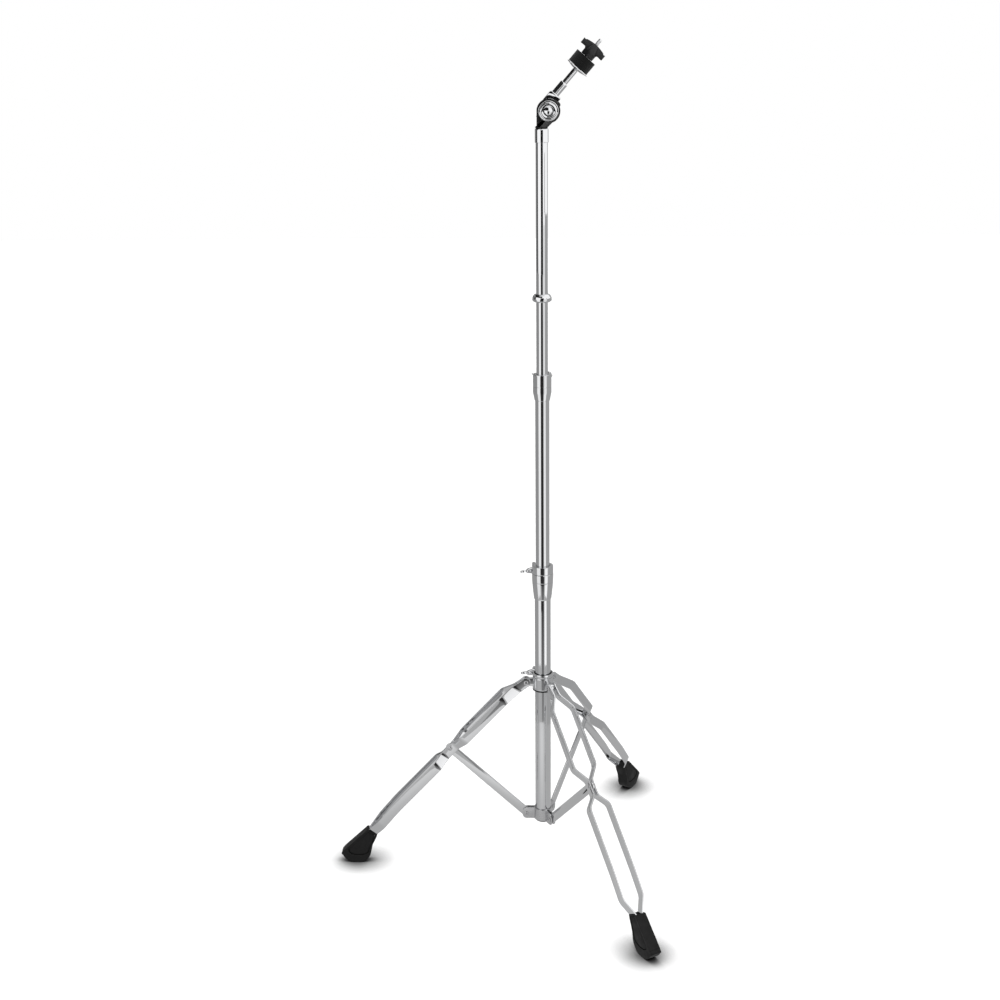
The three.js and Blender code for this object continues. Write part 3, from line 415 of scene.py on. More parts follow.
def inset(bm, faces, *steps):
    """Insets faces step by step, each step given as width and rise."""
    for width, rise in steps:
        bmesh.ops.inset_individual(bm, faces=faces, thickness=width, depth=rise,
                                   use_even_offset=True)


def flat_face(bm, corners, depth):
    """A face in the XZ plane at Y = depth. Each corner is (x, z) or (x, z, rounding)."""
    points = [bm.verts.new((corner[0], depth, corner[1])) for corner in corners]
    bm.faces.new(points)
    rounded = [(point, corner[2]) for point, corner in zip(points, corners) if len(corner) > 2]
    for point, rounding in rounded:
        bmesh.ops.bevel(bm, geom=[point], offset=rounding, segments=8, profile=0.5,
                        affect="VERTICES", material=-1)


def move_grown(bm, grown, way):
    """Moves what an extrusion has just made."""
    verts = [item for item in grown["geom"] if isinstance(item, bmesh.types.BMVert)]
    bmesh.ops.translate(bm, verts=verts, vec=way)


def extrude_all(bm, way):
    """Gives every face of a flat mesh its thickness."""
    move_grown(bm, bmesh.ops.extrude_face_region(bm, geom=bm.faces[:]), way)


def slab(corners, low, high):
    """A plate with the given outline between two Y, in a bmesh of its own."""
    low, high = sorted((low, high))
    bm = bmesh.new()
    flat_face(bm, corners, low)
    extrude_all(bm, (0, high - low, 0))
    close_holes(bm)
    bmesh.ops.recalc_face_normals(bm, faces=bm.faces)
    return bm


def adopt(bm, other, matrix=None):
    """Moves another bmesh into this one."""
    if matrix is not None:
        bmesh.ops.transform(other, matrix=matrix, verts=other.verts)
    carrier = bpy.data.meshes.new("carrier")
    other.to_mesh(carrier)
    other.free()
    bm.from_mesh(carrier)
    bpy.data.meshes.remove(carrier)


def in_mm(*corners):
    """Corners of an outline, given in millimetres."""
    return [tuple(value * MM for value in corner) for corner in corners]


def arc(x, z, radius, start, end, steps):
    """Points on a circle."""
    return [(x + radius * cos(start + (end - start) * i / steps),
             z + radius * sin(start + (end - start) * i / steps)) for i in range(steps + 1)]


def piece(name, bm, body, slot, nodes, matrix=None, crease=CREASE):
    """Finishes a mesh, shades it smooth between its creases and hands it to its body."""
    if matrix is not None:
        bmesh.ops.transform(bm, matrix=matrix, verts=bm.verts)
    bmesh.ops.remove_doubles(bm, verts=bm.verts, dist=1e-7)
    bmesh.ops.recalc_face_normals(bm, faces=bm.faces)
    for face in bm.faces:
        face.smooth = True
    for edge in bm.edges:
        edge.smooth = not (edge.is_manifold and edge.calc_face_angle(0) > crease)
    mesh = bpy.data.meshes.new(name)
    bm.to_mesh(mesh)
    bm.free()
    made = bpy.data.objects.new(name, mesh)
    bpy.context.scene.collection.objects.link(made)
    mesh.materials.append(finish_for(slot))
    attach(made, body)
    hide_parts(*nodes)
    return made


def turned_piece(name, profile, body, slot, nodes, matrix, soft=0.0, steps=TURNS):
    """A piece made by one turned outline."""
    bm = spun(profile, steps)
    if soft:
        soften(bm, soft)
    piece(name, bm, body, slot, nodes, matrix)


def ring_profile(outer, inner, low, high):
    """Outline of a plain ring."""
    return [(inner, low), (outer, low), (outer, high), (inner, high)]


def heights(node, origin=0.0):
    """A node's foot and top, measured from a height."""
    low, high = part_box(node)
    return low[2] - origin, high[2] - origin


def half_width(node):
    """The radius of a round node."""
    low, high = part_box(node)
    return (high[1] - low[1]) / 2


def at_height(height, azimuth=0.0):
    """A frame on the tubes' line."""
    return Matrix.Translation((LINE.x, LINE.y, height)) @ Matrix.Rotation(azimuth, 4, "Z")


# Tubes


class STAND_OT_tubes(bpy.types.Operator):
    """Three drawn tubes, the plug in the lowest and the stop ring"""

    bl_idname = "stand.tubes"
    bl_label = "Tubes"

    def execute(self, context):
        tubes = context.scene.stand_tubes
        for node, body in (("base_tube", "base"), ("middle_tube", "middle"), ("top_tube", "top")):
            radius = half_width(node)
            outline = ring_profile(radius, radius - tubes.wall, *heights(node))
            turned_piece(f"{node}_shell", outline, body, "chrome", [node], at_height(0),
                         0.4 * MM, 96)
        foot, top = heights("base_tube_plug")
        radius = half_width("base_tube_plug")
        flange = foot + 1.6 * MM
        bore = radius - tubes.wall - tubes.gap
        plug = [(0, foot), (radius - 0.6 * MM, foot), (radius, foot + 0.6 * MM), (radius, flange),
                (bore, flange), (bore, top - 1 * MM), (bore - 1 * MM, top), (0, top)]
        turned_piece("tube_plug", plug, "base", "black_plastic", ["base_tube_plug"], at_height(0))
        self.stop_ring(tubes)
        return {"FINISHED"}

    def stop_ring(self, tubes):
        foot, top = heights("stop_ring")
        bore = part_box("top_tube")[1][1] + tubes.gap
        outer = tubes.stop_ring_od / 2
        outline = [(bore, foot), (12.5 * MM, foot), (outer - 0.5 * MM, foot + 2 * MM),
                   (outer, foot + 2.9 * MM)]
        crown = arc(outer - 6 * MM, foot + 5 * MM, 6 * MM, 0, pi / 2 - 0.25, 8)
        rise = (top - 0.3 * MM - crown[-1][1]) / (crown[-1][1] - crown[0][1])
        outline += [(x, z + rise * (z - crown[0][1])) for x, z in crown]
        outline += [(bore + 1.2 * MM, top), (bore, top)]
        turned_piece("height_stop", outline, "top", "chrome", ["stop_ring"], at_height(0), 0.3 * MM)


# Bracket and legs


def rivet_profile(stack, legs):
    """A rivet's outline: shank, two domed heads, each with a turned dimple."""
    half = stack / 2 + bpy.context.scene.stand_tubes.gap
    head = legs.rivet_head / 2
    height = 1.3 * MM
    side = [(legs.rivet_od / 2, half), (head - 0.3 * MM, half), (head, half + 0.35 * MM),
            (head * 0.93, half + height * 0.5), (head * 0.72, half + height * 0.84),
            (head * 0.46, half + height), (head * 0.32, half + height),
            (head * 0.29, half + height * 0.8), (head * 0.27, 0.8 * MM), (0, 0.6 * MM)]
    return [(r, -z) for r, z in reversed(side)] + side


def rivet(name, node, body, frame_matrix, stack, legs):
    """One rivet across a leg's frame."""
    turned_piece(name, rivet_profile(stack, legs), body, "plated_steel", [node],
                 frame_matrix @ Matrix.Rotation(pi / 2, 4, "X"), 0, PIN_TURNS)


def arm_frame(side, height):
    """A frame at a pivot of one leg, X pointing out."""
    return at_height(height, LEGS[side]) @ Matrix.Translation((PIVOT_RADIUS, 0, 0))


def waist_run(legs):
    """From the hub pivot to the waist, along the leg."""
    return sqrt(STAY_LENGTH ** 2 - legs.waist_rise ** 2)


def leg_slope(legs):
    """How steeply the leg runs down."""
    return SPREAD + atan2(legs.waist_rise, waist_run(legs))


def leg_frame(side, legs):
    """The leg's own frame: X down the leg from the hub pivot."""
    return arm_frame(side, HUB_PIVOT.z) @ Matrix.Rotation(leg_slope(legs), 4, "Y")


def stay_frame(side):
    """The stay's own frame: X up the stay from the bracket."""
    return arm_frame(side, STAY_PIVOT.z) @ Matrix.Rotation(-SPREAD, 4, "Y")


class STAND_OT_bracket(bpy.types.Operator):
    """Pressed bracket at the base tube's foot, with a pair of lugs and a rivet for each stay"""

    bl_idname = "stand.bracket"
    bl_label = "Bottom bracket"

    def execute(self, context):
        legs = context.scene.stand_legs
        tubes = context.scene.stand_tubes
        plate = 2.2 * MM
        end = 7.6 * MM
        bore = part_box("base_tube")[1][1] + tubes.gap
        bottom, top = heights("bottom_bracket", STAY_PIVOT.z)
        gap = legs.stay_thickness / 2 + legs.side_gap
        bm = spun(ring_profile(bore + plate, bore, bottom, top), 96)
        soften(bm, 0.5 * MM)
        reach = PIVOT_RADIUS + end
        corners = [(bore, bottom), (reach - 1 * MM, bottom, 6.5 * MM), (reach, 0),
                   (reach - 1 * MM, top, 8 * MM), (bore, top)]
        for side in LEGS:
            for way in (-1, 1):
                lug = slab(corners, way * gap, way * gap + way * plate)
                soften(lug, 0.5 * MM)
                adopt(bm, lug, Matrix.Rotation(LEGS[side], 4, "Z"))
        piece("foot_bracket", bm, "base", "plated_steel", ["bottom_bracket"],
              at_height(STAY_PIVOT.z))
        for side in LEGS:
            rivet(f"bracket_pin_{side}", f"bracket_rivet_{side}", "base",
                  arm_frame(side, STAY_PIVOT.z), 2 * (gap + plate), legs)
        return {"FINISHED"}


def strip_corners(legs):
    """The strip's line seen from above: along the leg, and out from its middle."""
    hub = legs.lug / 2 + legs.side_gap + legs.strip_thickness / 2
    waist = legs.stay_thickness / 2 + legs.side_gap + legs.strip_thickness / 2
    run = waist_run(legs)
    return [(-legs.strip_width / 2, hub), (20 * MM, hub), (48 * MM, legs.upper_bow),
            (run - 35 * MM, legs.upper_bow), (run - 11 * MM, waist), (run + 18 * MM, waist),
            (run + 37 * MM, legs.lower_bow), (legs.strip_length - 52 * MM, legs.lower_bow),
            (legs.strip_length - legs.toe_run, legs.toe_half), (legs.strip_length, legs.toe_half)]


def crank(legs, along):
    """How far the strip's middle stands over the pivot line."""

    def ramp(start, end, rise):
        share = min(1, max(0, (along - start) / (end - start)))
        near = min(share, 1 - share) * (end - start)
        blend = max(0, legs.ease - near) ** 2 / (4 * legs.ease) / (end - start)
        return rise * (share + (blend if share < 0.5 else -blend))

    return (ramp(0, legs.crank_run, legs.crank_rise)
            - ramp(legs.toe_drop_start, legs.strip_length, legs.toe_drop))


def strip_mesh(legs, way):
    """One bent strip in the leg's frame."""
    bm = bmesh.new()
    half = legs.strip_width / 2
    inner = legs.strip_thickness / 2
    line = [bm.verts.new((t, n - inner, -half)) for t, n in strip_corners(legs)]
    edges = [bm.edges.new(pair) for pair in zip(line, line[1:])]
    move_grown(bm, bmesh.ops.extrude_edge_only(bm, edges=edges), (0, 0, legs.strip_width))
    bends = [edge for edge in bm.edges
             if len(edge.link_faces) == 2 and abs(edge.verts[0].co.z - edge.verts[1].co.z) > half]
    bmesh.ops.bevel(bm, geom=bends, offset=legs.bend, segments=7, profile=0.5, affect="EDGES",
                    clamp_overlap=True, material=-1)
    ease, climbed, falls = legs.ease, legs.crank_run, legs.toe_drop_start
    for station in (0, ease, climbed / 2, climbed - ease, climbed, climbed + ease, 120 * MM,
                    240 * MM, falls - ease, falls, falls + ease, falls + 40 * MM, falls + 70 * MM):
        bmesh.ops.bisect_plane(bm, geom=bm.verts[:] + bm.edges[:] + bm.faces[:],
                               plane_co=(station, 0, 0), plane_no=(1, 0, 0))
    bmesh.ops.recalc_face_normals(bm, faces=bm.faces)
    middle = [face for face in bm.faces
              if abs(face.calc_center_median().x - legs.strip_length / 2) < 0.2]
    if middle and middle[0].normal.y < 0:
        bmesh.ops.reverse_faces(bm, faces=bm.faces)
    bmesh.ops.solidify(bm, geom=bm.faces[:], thickness=-legs.strip_thickness)
    start = min(vert.co.x for vert in bm.verts)
    tips = [edge for edge in bm.edges if all(vert.co.x < start + 0.5 * MM for vert in edge.verts)
            and abs(edge.verts[0].co.y - edge.verts[1].co.y) > inner]
    bmesh.ops.bevel(bm, geom=tips, offset=half * 0.97, segments=10, profile=0.5, affect="EDGES",
                    clamp_overlap=True, material=-1)
    soften(bm, 0.55 * MM, 50, 3)
    for vert in bm.verts:
        vert.co.z += crank(legs, vert.co.x)
    if way < 0:
        bmesh.ops.scale(bm, vec=(1, -1, 1), verts=bm.verts)
    return bm


class STAND_OT_legs(bpy.types.Operator):
    """Two bent strips, a waist rivet and a stay for each leg"""

    bl_idname = "stand.legs"
    bl_label = "Legs"

    def execute(self, context):
        legs = context.scene.stand_legs
        half = legs.stay_width / 2
        waist = legs.stay_thickness + 2 * legs.side_gap + 2 * legs.strip_thickness
        for side in LEGS:
            for way, letter in ((1, "a"), (-1, "b")):
                piece(f"strip_{side}_{letter}", strip_mesh(legs, way), f"leg_{side}", "chrome",
                      [f"leg_strip_{side}_{letter}"], leg_frame(side, legs), radians(40))
            here = leg_frame(side, legs) @ Matrix.Translation((waist_run(legs), 0, legs.waist_rise))
            rivet(f"waist_pin_{side}", f"waist_rivet_{side}", f"leg_{side}", here, waist, legs)
            outline = [(-half, -half, half * 0.98), (STAY_LENGTH + half, -half, half * 0.98),
                       (STAY_LENGTH + half, half, half * 0.98), (-half, half, half * 0.98)]
            bar = slab(outline, -legs.stay_thickness / 2, legs.stay_thickness / 2)
            soften(bar, 0.6 * MM)
            piece(f"stay_bar_{side}", bar, f"stay_{side}", "chrome", [f"stay_{side}"],
                  stay_frame(side))
        return {"FINISHED"}


class STAND_OT_feet(bpy.types.Operator):
    """Three moulded rubber feet with a panel set in a groove on each side"""

    bl_idname = "stand.feet"
    bl_label = "Feet"

    def execute(self, context):
        legs = context.scene.stand_legs
        mouth = legs.strip_length - legs.toe_run
        for side in LEGS:
            place = leg_frame(side, legs) @ Matrix.Translation((mouth, 0, crank(legs, mouth)))
            upright = place @ Matrix.Rotation(-leg_slope(legs), 4, "Y")
            piece(f"rubber_foot_{side}", self.foot(upright.translation.z), f"leg_{side}", "rubber",
                  [f"foot_{side}"], upright, radians(30))
        return {"FINISHED"}

    def foot(self, height):
        """A moulding with an open mouth and panelled sides, drawn from the side and level."""
        floor = -height
        half = 10.3 * MM
        centre = floor + 24 * MM
        bm = bmesh.new()
        flat_face(bm, in_mm((9, 6.8, 1.5), (-10.6, -0.8, 2), (-7.4, -9.3, 3), (1.05, -26, 9))
                  + [(29.5 * MM + 27.2 * MM * cos(radians(turn)),
                      max(floor, centre + 24.2 * MM * sin(radians(turn))))
                     for turn in range(187, 338, 6)]
                  + in_mm((58, -41.2, 1.6), (54.2, -36.3), (53.2, -35.7), (53, -34.7)), -half)
        bmesh.ops.delete(bm, geom=bm.faces[:], context="FACES_ONLY")
        panel = bmesh.new()
        flat_face(panel, in_mm((6.4, 3.6, 1), (-6.4, -2.6, 1), (3.4, -27.5, 6))
                  + [(25.5 * MM + 18.5 * MM * cos(radians(turn)),
                      centre - 0.5 * MM + 8.4 * MM * sin(radians(turn)))
                     for turn in range(186, 352, 11)]
                  + in_mm((44.6, -31, 2)), -half)
        core = slab([(vert.co.x, vert.co.z) for vert in panel.faces[:][0].verts],
                    -half + 0.5 * MM, half - 0.5 * MM)
        soften(core, 0.5 * MM, 60, 2)
        bmesh.ops.delete(panel, geom=panel.faces[:], context="FACES_ONLY")
        adopt(bm, panel)
        bmesh.ops.bridge_loops(bm, edges=bm.edges[:])
        extrude_all(bm, (0, 2 * half, 0))
        bmesh.ops.recalc_face_normals(bm, faces=bm.faces)
        mouth = [face for face in bm.faces
                 if face.normal.z > 0.9 and face.calc_area() > 100 * MM * MM]
        inset(bm, mouth, (1.9 * MM, 0), (0.4 * MM, -7 * MM))
        soften(bm, 1.5 * MM, 60, 4)
        bmesh.ops.scale(core, vec=(0.95, 1, 0.95), verts=core.verts,
                        space=Matrix.Translation((-20 * MM, 0, 20 * MM)))
        adopt(bm, core)
        adopt(bm, slab(in_mm((0, -12), (4, -24), (12, -44), (36, -44), (44, -32), (14, -6)),
                       -half + 2 * MM, half - 2 * MM))
        return bm


# Clamps


def wing_outline(span, height, plate):
    """The wings of a bolt seen flat: span along X, away from the clamp along Z."""
    half = span / 2
    lobe = height * 0.4
    right = [(plate, height * 0.16, 1 * MM), (half * 0.58, height * 0.3, 4 * MM),
             (half, height - lobe * 1.25, 3.4 * MM), (half, height, 4 * MM),
             (half - lobe * 0.95, height, 3.4 * MM), (half * 0.46, height * 0.76, 3 * MM),
             (plate * 0.9, height * 0.62, 0.8 * MM)]
    return right + [(-x, z, r) for x, z, r in reversed(right)]


def wing_bolt(name, node, body, place, scale, clamps, near):
    """A forged wing bolt, its axis along the frame's Z and its boss on the near ear."""
    height = 20 * MM
    shank = -near - 7.5 * MM
    wings = slab(wing_outline(clamps.wing_span, height, 5 * MM), -2 * MM, 2 * MM)
    soften(wings, 1.3 * MM, 40, 4)
    bm = spun(in_mm((0, 0), (5.5, 0), (6, 0.5), (5.8, 3), (4.4, 11), (3.9, 12.6), (3, 13.2),
                    (0, 13.4)), 40)
    adopt(bm, wings)
    bmesh.ops.scale(bm, vec=(scale, scale, scale), verts=bm.verts)
    bmesh.ops.translate(bm, vec=(0, 0, near), verts=bm.verts)
    pin = spun([(0, shank), (2.4 * MM, shank), (3 * MM, shank + 0.6 * MM), (3 * MM, near + 2 * MM),
               (0, near + 2 * MM)], 24)
    adopt(bm, pin)
    piece(name, bm, body, "chrome", [node], place)


def hex_nut(name, node, body, place, near):
    """A chamfered hexagon nut on the far ear."""
    bm = bmesh.new()
    across_flats, thick = 11 * MM, 5 * MM
    bmesh.ops.create_circle(bm, cap_ends=True, segments=6, radius=across_flats / sqrt(3),
                            matrix=Matrix.Translation((0, 0, -near - thick)))
    extrude_all(bm, (0, 0, thick))
    close_holes(bm)
    soften(bm, 0.5 * MM, 40, 2)
    piece(name, bm, body, "plated_steel", [node], place)


def ears(bm, circle, bolt, height, inner, clamps):
    """Two rounded ears either side of the slit, pointing along X past the bolt's circle."""
    reach = circle + 8.5 * MM
    corner = 4 * MM
    outline = [(inner, bolt - height / 2), (reach, bolt - height / 2, corner),
               (reach, bolt + height / 2, corner), (inner, bolt + height / 2)]
    for way in (-1, 1):
        ear = slab(outline, way * clamps.slit / 2, way * (clamps.slit / 2 + clamps.ear_plate))
        soften(ear, 0.9 * MM, 40, 4)
        adopt(bm, ear)


def rolled_lip(outer, lip, bore, top):
    """The rounded rim of a clamp's ring and the lip that reaches in over its bush."""
    return [(outer, top - 1.2 * MM), (outer - 0.35 * MM, top - 0.35 * MM), (outer - 1.2 * MM, top),
            (lip, top), (lip, top - 1.4 * MM), (bore, top - 1.6 * MM)]


def split_ring(profile, clamps, radius):
    """A turned part with the clamp's slit left open at X."""
    half = clamps.slit / 2 / radius
    return spun(profile, TURNS, half, tau - 2 * half)


def bolt_frame(azimuth, circle, height, tilt):
    """The wing bolt's frame: Z along the bolt, turned by the tilt."""
    return (at_height(height, azimuth) @ Matrix.Translation((circle, 0, 0))
            @ Matrix.Rotation(-pi / 2, 4, "X") @ Matrix.Rotation(tilt, 4, "Z"))


def clamp_bolt(clamp, body, clamps, azimuth, circle, height, scale=1):
    """A clamp's wing bolt and the nut behind its far ear."""
    near = clamps.slit / 2 + clamps.ear_plate + bpy.context.scene.stand_tubes.gap
    wing_bolt(f"{clamp}_wing", f"{clamp}_wing_bolt", f"{clamp}_wing_bolt",
              bolt_frame(azimuth, circle, height, clamps.wing_tilt), scale, clamps, near)
    hex_nut(f"{clamp}_nut", f"{clamp}_clamp_nut", body, bolt_frame(azimuth, circle, height, 0),
            near)


class STAND_OT_hub(bpy.types.Operator):
    """Leg hub with its clamp ring, bush, rivets and wing bolt"""

    bl_idname = "stand.hub"
    bl_label = "Leg hub"

    def execute(self, context):
        legs = context.scene.stand_legs
        clamps = context.scene.stand_clamps
        tubes = context.scene.stand_tubes
        height = HUB_PIVOT.z
        outer = clamps.hub_od / 2
        bush_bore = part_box("base_tube")[1][1] + tubes.slide_gap
        bore = bush_bore + 1.5 * MM + tubes.gap
        bottom, top = heights("leg_hub", height)
        seam = top - 7.2 * MM
        deep = 0.9 * MM
        bm = spun(ring_profile(outer, bore, bottom, seam), 96)
        ring = [(bore, seam), (outer - deep, seam), (outer - deep, seam + deep),
                (outer, seam + deep), (outer, top), (bore, top)]
        adopt(bm, split_ring(ring, clamps, outer))
        soften(bm, 0.5 * MM, 50)
        bolt, ear = 11 * MM, 16 * MM
        ears(bm, clamps.bolt_circle, bolt, ear, outer - 1.5 * MM, clamps)
        end = 7.4 * MM
        outline = [(bore + 1 * MM, -end), (PIVOT_RADIUS + end, -end, end * 0.98),
                   (PIVOT_RADIUS + end, end, end * 0.98), (bore + 1 * MM, end)]
        for side in LEGS:
            lug = slab(outline, -legs.lug / 2, legs.lug / 2)
            soften(lug, 0.7 * MM, 40)
            adopt(bm, lug, Matrix.Rotation(LEGS[side] - clamps.azimuth, 4, "Z"))
        piece("hub_casting", bm, "hub", "chrome", ["leg_hub"], at_height(height, clamps.azimuth))
        self.bush(clamps, outer, bush_bore, top, height)
        stack = legs.lug + 2 * legs.side_gap + 2 * legs.strip_thickness
        for side in LEGS:
            rivet(f"hub_pin_{side}", f"hub_rivet_{side}", "hub", arm_frame(side, height), stack,
                  legs)
        clamp_bolt("hub", "hub", clamps, clamps.azimuth, clamps.bolt_circle, height + bolt)
        return {"FINISHED"}

    def bush(self, clamps, outer, bore, top, height):
        foot = heights("hub_bush", height)[0]
        lip = 2.6 * MM
        wall = bore + 1.5 * MM
        profile = [(bore, foot), (outer, foot), (outer, foot + lip), (wall, foot + lip),
                   (wall, top - 1.2 * MM), (bore, top - 1.2 * MM)]
        bm = split_ring(profile, clamps, bore)
        soften(bm, 0.3 * MM, 50)
        piece("hub_liner", bm, "hub", "black_plastic", ["hub_bush"],
              at_height(height, clamps.azimuth))


def clamp_bush(name, node, body, inner_node):
    """The plastic collar just under its clamp's rolled lip."""
    tubes = bpy.context.scene.stand_tubes
    foot, top = heights(node)
    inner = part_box(inner_node)[1][1] + tubes.slide_gap
    outline = ring_profile(half_width(node), inner, foot, top - 1.9 * MM)
    turned_piece(name, outline, body, "black_plastic", [node], at_height(0), 0.35 * MM)


class STAND_OT_lower_clamp(bpy.types.Operator):
    """Lower clamp: a tulip sleeve on the base tube under a split ring, with its wing bolt"""

    bl_idname = "stand.lower_clamp"
    bl_label = "Lower clamp"

    def execute(self, context):
        clamps = context.scene.stand_clamps
        tubes = context.scene.stand_tubes
        bottom, top = heights("lower_clamp", BASE_END)
        seam = -7 * MM
        slit_foot = -22.2 * MM
        deep = 0.9 * MM
        ring = clamps.lower_od / 2
        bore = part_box("base_tube")[1][1] + tubes.gap
        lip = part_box("middle_tube")[1][1] + tubes.slide_gap
        foot = bore + 0.9 * MM
        mouth = 18.65 * MM
        straight = 2 * MM

        def swell(z):
            share = min(1, (z - bottom) / (seam - straight - bottom))
            return foot + (mouth - foot) * sin(share * pi / 2)

        lower = [bottom + (slit_foot - bottom) * i / 14 for i in range(15)]
        upper = [slit_foot + (seam - 0.4 * MM - slit_foot) * i / 8 for i in range(9)]
        bm = spun([(bore, bottom)] + [(swell(z), z) for z in lower] + [(bore, slit_foot)], 96)
        profile = [(bore, slit_foot)] + [(swell(z), z) for z in upper]
        profile += [(mouth - 0.4 * MM, seam), (ring - deep, seam), (ring - deep, seam + deep),
                    (ring, seam + deep)] + rolled_lip(ring, lip, bore, top)
        adopt(bm, split_ring(profile, clamps, ring))
        soften(bm, 0.3 * MM, 50, 2)
        bolt, ear = -9 * MM, 26 * MM
        ears(bm, clamps.bolt_circle, bolt, ear, ring - 1.5 * MM, clamps)
        piece("tulip_clamp", bm, "base", "chrome", ["lower_clamp"],
              at_height(BASE_END, clamps.azimuth))
        clamp_bush("lower_lip", "lower_clamp_bush", "lower_bush", "middle_tube")
        clamp_bolt("lower", "base", clamps, clamps.azimuth, clamps.bolt_circle, BASE_END + bolt)
        return {"FINISHED"}


class STAND_OT_upper_clamp(bpy.types.Operator):
    """Upper clamp: a split cylinder with a coned foot, its wing bolt behind the tube"""

    bl_idname = "stand.upper_clamp"
    bl_label = "Upper clamp"

    def execute(self, context):
        clamps = context.scene.stand_clamps
        tubes = context.scene.stand_tubes
        bottom, top = heights("upper_clamp", MIDDLE_END)
        outer = clamps.upper_od / 2
        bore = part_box("middle_tube")[1][1] + tubes.gap
        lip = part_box("top_tube")[1][1] + tubes.slide_gap
        cone = 13 * MM
        slit_foot = -12 * MM
        bm = spun([(bore, bottom), (bore + 0.7 * MM, bottom),
                   (outer - 0.25 * MM, bottom + cone - 0.6 * MM),
                   (outer, bottom + cone + 0.6 * MM), (outer, slit_foot), (bore, slit_foot)], 96)
        collar = [(bore, slit_foot), (outer, slit_foot)] + rolled_lip(outer, lip, bore, top)
        adopt(bm, split_ring(collar, clamps, outer))
        soften(bm, 0.3 * MM, 50, 2)
        bolt, ear = 2.6 * MM, 12 * MM
        ears(bm, clamps.upper_bolt_circle, bolt, ear, outer - 1.5 * MM, clamps)
        piece("cone_clamp", bm, "middle", "chrome", ["upper_clamp"],
              at_height(MIDDLE_END, clamps.upper_azimuth))
        clamp_bush("upper_lip", "upper_clamp_bush", "upper_bush", "top_tube")
        clamp_bolt("upper", "middle", clamps, clamps.upper_azimuth, clamps.upper_bolt_circle,
                   MIDDLE_END + bolt, 0.72)
        return {"FINISHED"}


# Tilter


def tooth_ring(bm, tilter, face, way):
    """Radial teeth on a face at the given Y, pointing along way."""
    inner, outer = 9 * MM, 16.2 * MM
    height = 1.2 * MM
    sunk = 0.1 * MM
    flank = 0.42 * tau * inner / tilter.teeth
    for i in range(tilter.teeth):
        tooth = bmesh.new()
        corners = ((-way * sunk, -flank), (way * height, 0), (-way * sunk, flank))
        tooth.faces.new([tooth.verts.new((inner, y, z)) for y, z in corners])
        extrude_all(tooth, (outer - inner, 0, 0))
        close_holes(tooth)
        bmesh.ops.recalc_face_normals(tooth, faces=tooth.faces)
        turn = Matrix.Rotation(tau * i / tilter.teeth, 4, "Y")
        adopt(bm, tooth, Matrix.Translation((0, face, 0)) @ turn)


